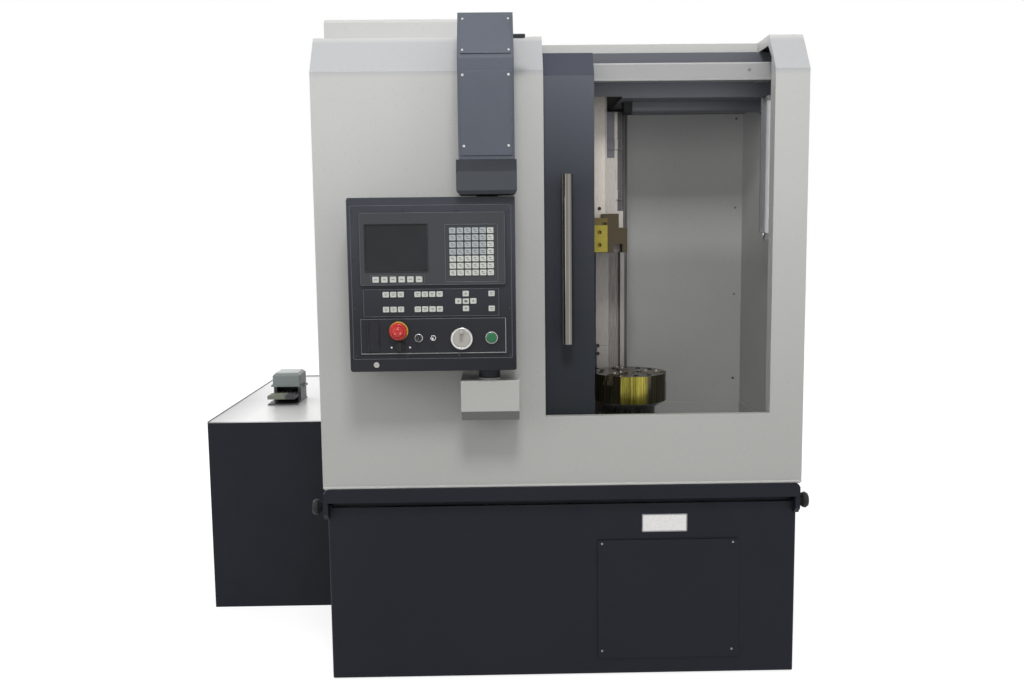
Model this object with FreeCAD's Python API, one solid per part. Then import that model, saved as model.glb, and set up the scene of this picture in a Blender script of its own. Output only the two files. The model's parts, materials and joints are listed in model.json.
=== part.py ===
import FreeCAD, Part
import math
import os

# A small vertical turning lathe. All sizes are in millimetres. While it is drawn, x = 0 is
# the left side of the housing, y = 0 its front and z = 0 the floor, with y running back.
# At the end every piece moves so that the origin is in the middle of the footprint.

V = FreeCAD.Vector
X_AXIS = V(1, 0, 0)
Y_AXIS = V(0, 1, 0)
Z_AXIS = V(0, 0, 1)
FIT = 0.05

# Housing above the tray
WIDTH = 1500.0
DEPTH = 1830.0
SHEET = 3.0
HOUSING_BOTTOM = 632.0
BEND_Z = 1903.0
CHAMFER_DEPTH = 80.0
ROOF_Z = 2016.0
ROOF_LIP_Z = 1985.0
ROOF_FRONT_Y = 215.0
WINDOW_LEFT = 697.0
WINDOW_RIGHT = 1396.0
SILL_Z = 852.0
POST_RETURN = 50.0
EDGE_RETURN = 25.0
HOOD_TOP = 2109.0

# Base and tray
BASE_LEFT = 8.0
BASE_RIGHT = 1492.0
BASE_FRONT = 20.0
BASE_REAR = 1826.0
BASE_TOP = 565.0
BASE_WALL = 6.0
TRAY_FRONT = -15.0
GROOVE_TOP = 589.0
BOLLARD_OUT = 44.0
BOLLARD_Z = 558.0
BED_TOP = 628.0

# Door
DOOR_FRONT = 30.0
DOOR_BACK = 60.0
DOOR_LEFT = 130.0
DOOR_RIGHT = 853.0
DOOR_BOTTOM = 806.0
DOOR_BEND_Z = 1895.0
DOOR_TOP = 1966.0
HANDLE_X = 765.0
HANDLE_Y = -20.0
HANDLE_R = 17.5

# Spindle, chuck and jaws
SPINDLE_X = 998.0
SPINDLE_Y = 302.0
CHUCK_R = 125.0
CHUCK_TOP = 946.0
JAW_ANGLES = (-10.0, 110.0, 230.0)
JAW_TOP = 950.0
JAW_WIDTH = 30.0
JAW_FOOT_WIDTH = 44.0

# Column and vertical guides
COLUMN_LEFT = 590.0
COLUMN_RIGHT = 1014.0
COLUMN_FRONT = 480.0
COLUMN_BACK = 900.0
COLUMN_TOP = 1830.0
RAIL_XS = (661.0, 921.0)
RAIL_WIDTH = 45.0
RAIL_HEIGHT = 38.0
RAIL_BOTTOM = 941.0
SCREW_X = 791.0
SCREW_Y = 455.0
SCREW_R = 16.0

# Slides and turret
SADDLE_LEFT = 600.0
SADDLE_RIGHT = 982.0
SADDLE_FRONT = 380.0
SADDLE_BACK = 420.0
SADDLE_BOTTOM = 1440.0
SADDLE_TOP = 1825.0
SLIDE_FRONT = 330.0
TURRET_X = 921.0
TURRET_Z = 1416.0
TURRET_SIZE = 128.0
TURRET_FRONT = 260.0
TURRET_BACK = 326.0
PLATE_LEFT = 752.0
CROSS_SCREW_Y = 395.0
CROSS_SCREW_R = 8.0
WAY_ZS = (1530.0, 1700.0)
CROSS_SCREW_Z = 1610.0

# Console and the arm that carries it
PIVOT_X = 526.0
PIVOT_Y = -100.0
PIVOT_R = 20.0
CONSOLE_LEFT = 124.0
CONSOLE_RIGHT = 605.0
CONSOLE_FRONT = -174.0
CONSOLE_BACK = -50.0
CONSOLE_BOTTOM = 1024.0
CONSOLE_TOP = 1524.0
ARM_LEFT = 447.0
ARM_RIGHT = 606.0
ARM_FRONT = -190.0

# Side cabinet and foot switch
CABINET_LEFT = -549.0
CABINET_RIGHT = -60.0
CABINET_FRONT = 650.0
CABINET_REAR = 1829.0
CABINET_TOP = 724.0
HOOD_BOTTOM = 791.0
LID = 4.0
HOOD_LEFT = -394.0
HOOD_RIGHT = -281.0
PEDAL_Y = 1165.0
PEDAL_Z = 756.0


def box(x0, x1, y0, y1, z0, z1):
    """Block between two corners."""
    return Part.makeBox(x1 - x0, y1 - y0, z1 - z0, V(x0, y0, z0))


def cyl(radius, start, end):
    """Round bar from one centre to another."""
    along = V(*end) - V(*start)
    return Part.makeCylinder(radius, along.Length, V(*start), along)


def face_of(points):
    return Part.Face(Part.makePolygon(points + [points[0]]))


def side_profile(outline, x0, x1):
    """Extrude a (y, z) outline from x0 to x1."""
    return face_of([V(x0, y, z) for y, z in outline]).extrude(V(x1 - x0, 0, 0))


def front_profile(outline, y0, y1):
    """Extrude an (x, z) outline from y0 to y1."""
    return face_of([V(x, y0, z) for x, z in outline]).extrude(V(0, y1 - y0, 0))


def plan_profile(outline, z0, z1):
    """Extrude an (x, y) outline from z0 to z1."""
    return face_of([V(x, y, z0) for x, y in outline]).extrude(V(0, 0, z1 - z0))


def turned(outline, centre, axis):
    """Revolve (radius, height) pairs about an axis through the centre."""
    side = V(1, 0, 0)
    if abs(axis.x) > 0.5:
        side = V(0, 1, 0)
    points = [V(*centre) + side * r + axis * h for r, h in outline]
    return face_of(points).revolve(V(*centre), axis, 360)


def flat_sided(outline, centre, axis, sides):
    """Like turned, but with flat sides, for small round pieces. The radii are its corners'."""
    turn = FreeCAD.Rotation(Z_AXIS, axis)
    rings = []
    for radius, height in outline:
        ring = []
        for i in range(sides):
            angle = 2 * math.pi * (i + 0.5) / sides
            spot = V(radius * math.cos(angle), radius * math.sin(angle), height)
            ring.append(V(*centre) + turn.multVec(spot))
        rings.append(ring)
    faces = [face_of(rings[0]), face_of(rings[-1])]
    for low, high in zip(rings, rings[1:]):
        for i in range(sides):
            j = (i + 1) % sides
            faces.append(face_of([low[i], low[j], high[j], high[i]]))
    shell = Part.Shell(faces)
    shell.sewShape()
    solid = Part.Solid(shell)
    if solid.Volume < 0:
        solid.reverse()
    return solid


def round_edges(shape, radius, axis, keep=None):
    """Round the straight edges that run along an axis and that pass the keep test."""
    edges = []
    for edge in shape.Edges:
        if len(edge.Vertexes) != 2:
            continue
        run = edge.Vertexes[1].Point - edge.Vertexes[0].Point
        if run.cross(axis).Length < 1e-6 and (keep is None or keep(edge.CenterOfMass)):
            edges.append(edge)
    return shape.makeFillet(radius, edges)


def fuse(shapes):
    return shapes[0].multiFuse(shapes[1:]).removeSplitter()


def cut(shape, tools):
    for tool in tools:
        shape = shape.cut(tool)
    return shape


def folded(line, thickness):
    """Closed outline of a sheet folded along a line of points, on its right-hand side."""
    inner = []
    count = len(line)
    for i in range(count):
        normals = []
        for j in (i - 1, i):
            if 0 <= j < count - 1:
                du = line[j + 1][0] - line[j][0]
                dv = line[j + 1][1] - line[j][1]
                length = math.hypot(du, dv)
                normals.append((dv / length, -du / length))
        nu = sum(n[0] for n in normals) / len(normals)
        nv = sum(n[1] for n in normals) / len(normals)
        scale = thickness / (nu * nu + nv * nv)
        inner.append((line[i][0] + nu * scale, line[i][1] + nv * scale))
    return line + inner[::-1]


# ---- base, tray and feet ----

def base_frame():
    """Sheet skirt with a floor flange for the feet and an opening behind the access cover."""
    outer = box(BASE_LEFT, BASE_RIGHT, BASE_FRONT, BASE_REAR, 5, BASE_TOP)
    outer = round_edges(outer, 8, Z_AXIS, lambda c: c.y < BASE_FRONT + 1)
    inner = box(BASE_LEFT + BASE_WALL, BASE_RIGHT - BASE_WALL,
                BASE_FRONT + BASE_WALL, BASE_REAR - BASE_WALL, 17, BASE_TOP + 1)
    floor_hole = box(BASE_LEFT + 180, BASE_RIGHT - 180, 1060, BASE_REAR - 180, 4, 18)
    service_hole = box(895, 1276, BASE_FRONT - 1, BASE_FRONT + BASE_WALL + 1, 92, 413)
    return cut(outer, [inner, floor_hole, service_hole])


def foot_places():
    return [(x, y) for x in (95.0, 1405.0) for y in (110.0, 920.0, 1735.0)]


def levelling_feet():
    """Square wedge mounts under the floor flange."""
    feet = []
    for x, y in foot_places():
        outline = [(y - 45, 0), (y + 45, 0), (y + 45, 4), (y + 36, 5), (y - 36, 5), (y - 45, 4)]
        feet.append(side_profile(outline, x - 45, x + 45))
    return Part.makeCompound(feet)


def bed_casting():
    """Casting that carries the column and is bored for the spindle cartridge."""
    left, right, front, back = 500.0, 1200.0, 80.0, 1000.0
    shape = box(left, right, front, back, 17, BED_TOP)
    bore = cyl(130 + FIT, (SPINDLE_X, SPINDLE_Y, 16), (SPINDLE_X, SPINDLE_Y, BED_TOP + 1))
    pocket = box(560, 820, 150, 440, 60, BED_TOP + 1)
    return cut(shape, [bore, pocket])


def frame_ring(x0, x1, y0, y1, z0, z1, hole):
    """Rectangular ring between two levels round a hole given as (x0, x1, y0, y1)."""
    return box(x0, x1, y0, y1, z0, z1).cut(box(hole[0], hole[1], hole[2], hole[3], z0 - 1, z1 + 1))


def drip_tray():
    """Rim between base and housing over a set-back band, with a gutter end at each side."""
    hole = (120.0, 1380.0, 60.0, 1700.0)
    band = frame_ring(20, 1480, 33, 1815, BASE_TOP, GROOVE_TOP, hole)
    rim = box(6, 1492, TRAY_FRONT, 1835, GROOVE_TOP, HOUSING_BOTTOM)
    rim = round_edges(rim, 15, Y_AXIS, lambda c: c.z > HOUSING_BOTTOM - 1)
    rim = rim.cut(box(hole[0], hole[1], hole[2], hole[3], GROOVE_TOP - 1, HOUSING_BOTTOM + 1))
    ends = []
    for x0, x1, front in ((0.0, BASE_LEFT, 14.0), (BASE_RIGHT, 1495.0, 1480.0)):
        outline = [(-10, 618), (-10, 550), (8, 532), (1807, 532), (1825, 550), (1825, 618)]
        ends.append(side_profile(outline, x0, x1))
        corner = [(-10, 618), (-10, 550), (8, 532), (BASE_FRONT, 532), (BASE_FRONT, 618)]
        ends.append(side_profile(corner, min(front, x0), max(front, x1)))
    return fuse([band, rim] + ends)


def lifting_bollards():
    """Mushroom-headed lifting studs, two on each side."""
    outline = [(12, 0), (12, 12), (24, 28), (26, 36), (21, BOLLARD_OUT)]
    studs = []
    for y in (60.0, 1770.0):
        studs.append(flat_sided(outline, (1495, y, BOLLARD_Z), X_AXIS, 16))
        studs.append(flat_sided(outline, (0, y, BOLLARD_Z), V(-1, 0, 0), 16))
    return Part.makeCompound(studs)


def access_cover():
    """Removable cover with folded edges over the service opening."""
    shell = box(861, 1310, BASE_FRONT - 6, BASE_FRONT, 58, 447)
    rebate = box(873, 1298, BASE_FRONT - 4, BASE_FRONT + 1, 70, 435)
    return shell.cut(rebate)


# ---- housing ----

def front_line():
    """Outer side of the folded front sheet, from its lower edge up to the roof."""
    return [(0, HOUSING_BOTTOM), (0, BEND_Z), (CHAMFER_DEPTH, ROOF_Z), (ROOF_FRONT_Y, ROOF_Z)]


def chamfer_z(y):
    return BEND_Z + (ROOF_Z - BEND_Z) * y / CHAMFER_DEPTH


def front_frame():
    """Front sheet folded back at the top, with the window, its returns and the door guide.

    The return on the right runs up into a web under the chamfer and the roof strip.
    """
    sheet = side_profile(folded(front_line(), SHEET), 0, WIDTH)
    sheet = sheet.cut(box(WINDOW_LEFT, WINDOW_RIGHT, -1, ROOF_FRONT_Y + 1, SILL_Z, ROOF_Z + 1))
    hem = box(0, WIDTH, 0, 14, HOUSING_BOTTOM, HOUSING_BOTTOM + SHEET)
    post_return = [(0, SILL_Z), (POST_RETURN, SILL_Z), (POST_RETURN, ROOF_LIP_Z - 40),
                   (POST_RETURN + 40, ROOF_LIP_Z), (ROOF_FRONT_Y, ROOF_LIP_Z),
                   (ROOF_FRONT_Y, ROOF_Z), (CHAMFER_DEPTH, ROOF_Z), (0, BEND_Z)]
    right_return = side_profile(post_return, WINDOW_RIGHT, WINDOW_RIGHT + SHEET)
    edge_return = [(0, SILL_Z), (EDGE_RETURN, SILL_Z), (EDGE_RETURN, chamfer_z(EDGE_RETURN)),
                   (0, BEND_Z)]
    left_return = side_profile(edge_return, WINDOW_LEFT - SHEET, WINDOW_LEFT)
    sill = box(WINDOW_LEFT - SHEET, WINDOW_RIGHT + SHEET, 0, EDGE_RETURN, SILL_Z - SHEET, SILL_Z)
    guide = folded([(SHEET, 784), (66, 784), (66, 825)], SHEET)
    guide = side_profile(guide, 100, 1460)
    bead = cyl(3, (0, 0, HOUSING_BOTTOM + 3), (WIDTH, 0, HOUSING_BOTTOM + 3))
    return fuse([sheet, hem, right_return, left_return, sill, guide, bead])


def side_panel(x):
    """Side sheet whose front edge follows the chamfer of the front sheet."""
    outline = [(14.5, HOUSING_BOTTOM), (14.5, 640), (3.5, 640), (3.5, 1902), (82.5, 2012.5),
               (DEPTH - 3.5, 2012.5), (DEPTH - 3.5, HOUSING_BOTTOM)]
    panel = side_profile(outline, x, x + SHEET)
    holes = []
    for row in range(6):
        z = 1640 + row * 36
        holes.append(box(x - 1, x + SHEET + 1, 1480, 1640, z, z + 12))
    return cut(panel, holes)


def rear_panel():
    """Rear sheet with two fields of ventilation slots."""
    panel = box(0, WIDTH, DEPTH - SHEET, DEPTH, HOUSING_BOTTOM, ROOF_Z - SHEET)
    slots = []
    for x in (260.0, 1040.0):
        for row in range(7):
            z = 1500 + row * 34
            slots.append(box(x, x + 200, DEPTH - SHEET - 1, DEPTH + 1, z, z + 12))
    return cut(panel, slots)


def roof_panel():
    """Roof sheet with a lip folded down behind the door opening."""
    sheet = box(0, WIDTH, ROOF_FRONT_Y, DEPTH - SHEET, ROOF_Z - SHEET, ROOF_Z)
    lip = box(WINDOW_LEFT, WINDOW_RIGHT, ROOF_FRONT_Y, ROOF_FRONT_Y + SHEET,
              ROOF_LIP_Z, ROOF_Z - SHEET)
    return sheet.fuse(lip).removeSplitter()


def roof_hood():
    """Sheet hood over the controls on the left of the roof, folded from one profile."""
    outline = [(250, ROOF_Z), (250, 2098), (261, HOOD_TOP), (1380, HOOD_TOP), (1420, 2070),
               (1420, ROOF_Z)]
    hood = side_profile(outline, 5, 560)
    hollow = [(253, ROOF_Z - 1), (253, 2096.8), (262.2, HOOD_TOP - SHEET),
              (1378.8, HOOD_TOP - SHEET), (1417, 2068.8), (1417, ROOF_Z - 1)]
    hood = hood.cut(side_profile(hollow, 8, 557))
    slots = []
    for i in range(12):
        y = 500 + 60 * i
        slots.append(box(556, 561, y, y + 14, 2040, 2085))
    return cut(hood, slots)


def chamber_liner():
    """Side and back sheets of the work space, cut out for the column."""
    bottom, top = 653.0, ROOF_LIP_Z
    plan = folded([(329, 82), (329, 641), (1464, 641), (1464, 82)], 2.0)
    liner = plan_profile(plan, bottom, 1845)
    right_front = box(1462, 1464, 82, 193, 1845, top)
    liner = fuse([liner, right_front])
    return liner.cut(box(COLUMN_LEFT - 2, COLUMN_RIGHT + 2, 630, 650, bottom - 1, 1846))


def ceiling_panel():
    """Ceiling and fascia folded from one sheet, cut out round the column and the slides."""
    shape = side_profile(folded([(193, ROOF_LIP_Z), (193, 1845), (641, 1845)], -2.0), 331, 1462)
    well = box(430, 958, 192, COLUMN_FRONT, 1844, 1850)
    column_hole = box(COLUMN_LEFT - 2, COLUMN_RIGHT + 2, 470, 650, 1844, 1850)
    return cut(shape, [well, column_hole])


def chip_pan():
    """Folded pan with a hole for the spindle neck, cut back round the column."""
    x0, x1, y0, y1 = 331.0, 1462.0, 72.0, 639.0
    pan = box(x0, x1, y0, y1, 650, 780).cut(box(x0 + 2, x1 - 2, y0 + 2, y1 - 2, 652, 781))
    neck = cyl(128, (SPINDLE_X, SPINDLE_Y, 649), (SPINDLE_X, SPINDLE_Y, 653))
    drain = box(400, 480, 160, 240, 649, 653)
    column = box(COLUMN_LEFT - 2, COLUMN_RIGHT + 2, COLUMN_FRONT - 2, y1 + 1, 649, 781)
    return cut(pan, [neck, drain, column])


def work_lamp():
    """Tube lamp along the right wall with a holder at each end."""
    x, y = 1433.0, 170.0
    tube = cyl(16, (x, y, 1411), (x, y, 1831))
    holders = []
    for low, high in ((1388.0, 1411.0), (1831.0, 1845.0)):
        holder = flat_sided([(18.5, low), (18.5, high)], (x, y, 0), Z_AXIS, 16)
        foot = box(x, 1462, y - 9, y + 9, low + 4, low + 12)
        holders.append(holder.fuse(foot))
    return tube, Part.makeCompound(holders)


# ---- door ----

def door_rail():
    """Guide rail of the door with brackets back to the fascia."""
    outline = [(112, 1886), (148, 1886), (148, 1941), (118, 1941), (112, 1936)]
    rail = side_profile(outline, 100, 1440)
    groove = box(99, 1441, 126, 134, 1931, 1942)
    brackets = [box(x, x + 40, 148, 193, 1890, 1896) for x in (345.0, 1385.0)]
    feet = [box(x, x + 40, 190, 193, 1896, 1930) for x in (345.0, 1385.0)]
    return cut(fuse([rail] + brackets + feet), [groove])


def door_panel():
    """Folded door sheet with its side flanges, window hole and two hangers on the rail."""
    line = [(DOOR_FRONT, DOOR_BOTTOM), (DOOR_FRONT, DOOR_BEND_Z), (78, DOOR_TOP), (150, DOOR_TOP)]
    sheet = side_profile(folded(line, 2.0), DOOR_LEFT, DOOR_RIGHT)
    flange = [(DOOR_FRONT, DOOR_BOTTOM), (DOOR_BACK, DOOR_BOTTOM), (DOOR_BACK, 1925),
              (78, 1952), (78, DOOR_TOP), (DOOR_FRONT, DOOR_BEND_Z)]
    sides = [side_profile(flange, x, x + 2) for x in (DOOR_LEFT, DOOR_RIGHT - 2)]
    foot = box(DOOR_LEFT, DOOR_RIGHT, DOOR_FRONT, DOOR_BACK, DOOR_BOTTOM, DOOR_BOTTOM + 2)
    hangers = []
    for x in (DOOR_LEFT + 60, DOOR_RIGHT - 140):
        block = box(x, x + 80, 106, 154, 1941 + FIT, DOOR_TOP - 2)
        tongue = box(x, x + 80, 126 + FIT, 134 - FIT, 1932, 1942)
        hangers.append(block.fuse(tongue))
    door = fuse([sheet, foot] + sides + hangers)
    hole = round_edges(box(230, 640, DOOR_FRONT - 1, DOOR_FRONT + 4, 1050, 1750), 30, Y_AXIS)
    return door.cut(hole)


def door_glass():
    """Laminated pane held against the inside of the door sheet."""
    return round_edges(box(212, 658, DOOR_FRONT + 2, DOOR_FRONT + 12, 1032, 1768), 20, Y_AXIS)


def door_handle():
    """Bar handle with two posts through to the door."""
    low, high = 1080.0, 1594.0
    bar = cyl(HANDLE_R, (HANDLE_X, HANDLE_Y, low), (HANDLE_X, HANDLE_Y, high))
    posts = [flat_sided([(9, 0), (9, DOOR_FRONT - HANDLE_Y)], (HANDLE_X, HANDLE_Y, z), Y_AXIS, 12)
             for z in (1120, 1554)]
    return fuse([bar] + posts)


# ---- arm and console ----

def arm_duct():
    """Bent box duct from the roof, over the chamfer and down to the arm head."""
    outline = [(ARM_FRONT, 1627), (ARM_FRONT, 1907), (-95, 2050), (-60, 2058), (232, 2058),
               (232, ROOF_Z), (12, ROOF_Z), (-70, 1885), (-70, 1627)]
    duct = side_profile(outline, ARM_LEFT, ARM_RIGHT)
    return round_edges(duct, 5, Z_AXIS, lambda c: c.y < ARM_FRONT + 1)


def arm_covers():
    """Flat covers screwed to the upright front and to the tilted face of the duct."""
    front = box(455, 598, ARM_FRONT - 3, ARM_FRONT, 1638, 1871)
    rise = math.degrees(math.atan2(2050 - 1907, -95 - ARM_FRONT))
    tilted = box(455, 598, 0, 146, 0, 3)
    tilted.rotate(V(0, 0, 0), X_AXIS, rise)
    start = 14.0
    tilted.translate(V(0, ARM_FRONT + start * math.cos(math.radians(rise)),
                       1907 + start * math.sin(math.radians(rise))))
    return Part.makeCompound([front, tilted])


def arm_head():
    """Swivel head below the duct, flared at the front, with a bore for the console's pin."""
    outline = [(-68, 1530), (-68, 1627), (ARM_FRONT - 2, 1627), (-208, 1593), (-208, 1540),
               (-200, 1530)]
    head = side_profile(outline, 440, 611)
    head = round_edges(head, 12, Y_AXIS, lambda c: c.z < 1540)
    bore = cyl(PIVOT_R + FIT, (PIVOT_X, PIVOT_Y, 1529), (PIVOT_X, PIVOT_Y, 1560))
    return head.cut(bore)


def lower_bracket():
    """Bracket on the front sheet with the lower bore of the console's pivot."""
    outline = [(0, 862), (0, 990), (-146, 990), (-150, 986), (-150, 898), (-96, 862)]
    bracket = side_profile(outline, 441, 613)
    washer = flat_sided([(32, 989), (32, 994)], (PIVOT_X, PIVOT_Y, 0), Z_AXIS, 32)
    bore = cyl(PIVOT_R + FIT, (PIVOT_X, PIVOT_Y, 960), (PIVOT_X, PIVOT_Y, 995))
    return bracket.fuse(washer).cut(bore)


def console_box():
    """Console housing with a raised edge round its front and a pin at each end of the pivot."""
    back = CONSOLE_FRONT + 12
    body = box(CONSOLE_LEFT, CONSOLE_RIGHT, back, CONSOLE_BACK, CONSOLE_BOTTOM, CONSOLE_TOP)
    body = round_edges(body, 10, Z_AXIS, lambda c: c.y > CONSOLE_BACK - 1)
    face = box(CONSOLE_LEFT, CONSOLE_RIGHT, CONSOLE_FRONT, back, CONSOLE_BOTTOM, CONSOLE_TOP)
    face = round_edges(face, 8, Y_AXIS)
    upper_pin = cyl(PIVOT_R, (PIVOT_X, PIVOT_Y, CONSOLE_TOP - 5), (PIVOT_X, PIVOT_Y, 1558))
    lower_pin = cyl(PIVOT_R, (PIVOT_X, PIVOT_Y, 962), (PIVOT_X, PIVOT_Y, CONSOLE_BOTTOM + 5))
    collar = flat_sided([(32, 994.3), (32, CONSOLE_BOTTOM + 5)],
                        (PIVOT_X, PIVOT_Y, 0), Z_AXIS, 32)
    shape = fuse([body, face, upper_pin, lower_pin, collar])
    pocket = box(240, 562, CONSOLE_FRONT - 1, CONSOLE_FRONT + 30, 1086, 1166)
    x, z, radius = panel_device_places()[6]
    lock_hole = flat_sided([(radius + 0.7, -26), (radius + 0.7, 1)],
                           (x, CONSOLE_FRONT, z), V(0, -1, 0), 16)
    tray = box(179, 206, CONSOLE_FRONT - 1, CONSOLE_FRONT + 26, 1086, 1166)
    return cut(shape, [pocket, lock_hole, tray])


def panel_device_places():
    """Centre and stem radius of each control on the lower plate and of the lock below it."""
    return [(265.7, 1142.0, 11.0), (270.0, 1098.0, 9.0), (323.0, 1121.5, 9.0),
            (365.0, 1121.0, 6.0), (447.5, 1119.0, 9.0), (533.5, 1120.0, 11.0),
            (199.6, 1044.0, 6.0)]


def console_plates():
    """Upper operation plate and lower control plate, each proud of the console front."""
    upper = box(166, 557, CONSOLE_FRONT - 3, CONSOLE_FRONT, 1183, 1263)
    lower = box(156, 576, CONSOLE_FRONT - 4, CONSOLE_FRONT, 1075, 1178)
    holes = [flat_sided([(r + 0.7, -1), (r + 0.7, 6)], (x, CONSOLE_FRONT, z), V(0, -1, 0), 16)
             for x, z, r in panel_device_places()[:6]]
    tray = box(179, 206, CONSOLE_FRONT - 6, CONSOLE_FRONT + 1, 1086, 1166)
    return Part.makeCompound([upper, cut(lower, holes + [tray])])


def control_unit():
    """Bezel of the control unit with recesses for the screen and for the keys."""
    front = CONSOLE_FRONT - 10
    bezel = box(160, 575.6, front, CONSOLE_FRONT, 1274, 1481)
    bezel = round_edges(bezel, 6, Y_AXIS)
    screen = box(177, 352, front - 1, front + 5, 1314, 1447)
    keypad = box(405, 553, front - 1, front + 2, 1283, 1445)
    return cut(bezel, [screen, keypad])


def control_screen():
    return box(178, 351, CONSOLE_FRONT - 7, CONSOLE_FRONT - 5, 1315, 1446)


def key_cap(x, z, width, height, y, rise):
    return box(x - width / 2, x + width / 2, y - rise, y, z - height / 2, z + height / 2)


def console_keys():
    """Keypad of six columns and seven rows, the soft keys and the operation keys."""
    caps = []
    pad_y = CONSOLE_FRONT - 8
    for column in range(6):
        for row in range(7):
            x = 425.7 + column * 21.6
            z = 1428.3 - row * 20.0
            caps.append(key_cap(x, z, 18.5, 16.5, pad_y, 3.5))
    for i in range(6):
        caps.append(key_cap(204.3 + i * 24.8, 1291, 18.5, 17, CONSOLE_FRONT - 10, 2.5))
    upper_y = CONSOLE_FRONT - 3
    left = [(231.1 + i * 21.5, z) for i in range(3) for z in (1247.5, 1204.5)]
    middle = [(322.3 + i * 21.1, z) for i in range(4) for z in (1247.5, 1204.5)]
    cross = [(460.8, 1248.0), (460.8, 1226.0), (460.8, 1205.5), (439.4, 1226.0), (482.7, 1226.0)]
    right = [(535.0, 1247.5), (535.0, 1204.5)]
    for x, z in left + middle + cross + right:
        caps.append(key_cap(x, z, 18, 16, upper_y, 2.5))
    return Part.makeCompound(caps)


def device(index, outline, sides=20):
    """Round control standing out of the lower plate, with its stem in the plate's hole."""
    x, z, radius = panel_device_places()[index]
    points = [(radius, -24)] + outline
    return flat_sided(points, (x, CONSOLE_FRONT - 4, z), V(0, -1, 0), sides)


def estop_button():
    """Mushroom head on a stem."""
    return device(0, [(11, 8), (24, 13), (26, 21), (22, 28), (12, 31)])


def start_button():
    """Round push button."""
    return device(5, [(11, 6), (15.5, 6), (15.5, 10), (13.5, 12)])


def selector_knob():
    """Round selector with a raised grip bar."""
    knob = device(1, [(9, 0.4), (13, 0.4), (13, 8)], 16)
    x, z, radius = panel_device_places()[1]
    y = CONSOLE_FRONT - 4
    grip = box(x - 4, x + 4, y - 19, y - 7, z - 12, z + 12)
    return knob.fuse(grip)


def key_switch():
    """Round lock barrel with a key standing in it."""
    barrel = device(2, [(9, 0.4), (10, 0.4), (10, 8.5)], 16)
    x, z, radius = panel_device_places()[2]
    y = CONSOLE_FRONT - 4
    blade = box(x - 1.2, x + 1.2, y - 18, y - 8, z - 4, z + 4)
    bow = box(x - 1.2, x + 1.2, y - 34, y - 18, z - 9, z + 9)
    return fuse([barrel, blade, bow])


def toggle_lever():
    """Toggle bat."""
    x, z, radius = panel_device_places()[3]
    y = CONSOLE_FRONT - 4
    return flat_sided([(3.6, -6), (2.6, 10), (3.6, 26), (2.4, 28)], (x, y, z), V(0, -1, 0), 12)


def handwheel():
    """Pulse handwheel with a small crank knob."""
    rim = device(4, [(9, 0.4), (32, 0.4), (32, 11), (29, 14)], 32)
    x, z, radius = panel_device_places()[4]
    y = CONSOLE_FRONT - 4
    knob = flat_sided([(6, 13), (6, 34)], (x, y, z + 20), V(0, -1, 0), 12)
    return rim.fuse(knob)


def cam_lock():
    """Quarter-turn lock of the console front with a slotted head."""
    x, z, radius = panel_device_places()[6]
    y = CONSOLE_FRONT
    head = flat_sided([(radius, -22), (radius, 0.4), (9, 0.4), (8, 4.5)],
                      (x, y, z), V(0, -1, 0), 16)
    slot = box(x - 5, x + 5, y - 5, y - 2, z - 0.9, z + 0.9)
    return head.cut(slot)


def port_cover():
    """Flap over the data port with a hinge barrel on its left edge."""
    y = CONSOLE_FRONT - 4
    flap = box(180, 209, y - 4, y - 0.4, 1083, 1169)
    flap = round_edges(flap, 3, Y_AXIS, lambda c: c.x > 200)
    barrel = cyl(3, (178, y - 3.5, 1083), (178, y - 3.5, 1169))
    return fuse([flap, barrel])


# ---- side cabinet and foot switch ----

def side_cabinet():
    """Sheet cabinet beside the machine, down to the floor, with ventilation at the rear."""
    body = box(CABINET_LEFT, CABINET_RIGHT, CABINET_FRONT, CABINET_REAR, 0, CABINET_TOP - LID)
    slots = []
    for row in range(8):
        z = 300 + row * 30
        slots.append(box(-420, -190, CABINET_REAR - 6, CABINET_REAR + 1, z, z + 12))
    return cut(body, slots)


def cabinet_lid():
    """Flat lid plate."""
    return box(CABINET_LEFT, CABINET_RIGHT, CABINET_FRONT, CABINET_REAR,
               CABINET_TOP - LID, CABINET_TOP)


def drain_duct():
    """Rectangular duct that joins the cabinet to the base."""
    outer = box(CABINET_RIGHT, BASE_LEFT, 900, 1120, 300, 420)
    outer = round_edges(outer, 10, X_AXIS)
    inner = box(CABINET_RIGHT - 5, BASE_LEFT + 1, 903, 1117, 303, 417)
    return outer.cut(inner)


def foot_switch_body():
    """Foot switch: base plate, side and back walls, and a chamfered hood over the pedal."""
    x0, x1, top = HOOD_LEFT, HOOD_RIGHT, CABINET_TOP + 5
    base = box(x0 - 10, x1 + 2, 1000, 1194, CABINET_TOP, top)
    walls = box(x0, x1, 1075, 1190, top, HOOD_BOTTOM)
    side = side_profile([(1060, HOOD_BOTTOM), (1060, 838), (1072, 850), (1178, 850), (1190, 838),
                         (1190, HOOD_BOTTOM)], x0, x1)
    front = front_profile([(x0, HOOD_BOTTOM), (x0, 838), (x0 + 12, 850), (x1 - 12, 850),
                           (x1, 838), (x1, HOOD_BOTTOM)], 1060, 1190)
    lugs = box(x0 - 20, x1 + 12, 1110, 1165, HOOD_BOTTOM - 7, HOOD_BOTTOM)
    shape = fuse([base, walls, side.common(front), lugs])
    space = box(x0 + 12, x1 - 12, 1074, 1178, top, HOOD_BOTTOM)
    bore = cyl(4 + FIT, (x0 + 3, PEDAL_Y, PEDAL_Z), (x1 - 3, PEDAL_Y, PEDAL_Z))
    return cut(shape, [space, bore])


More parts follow.
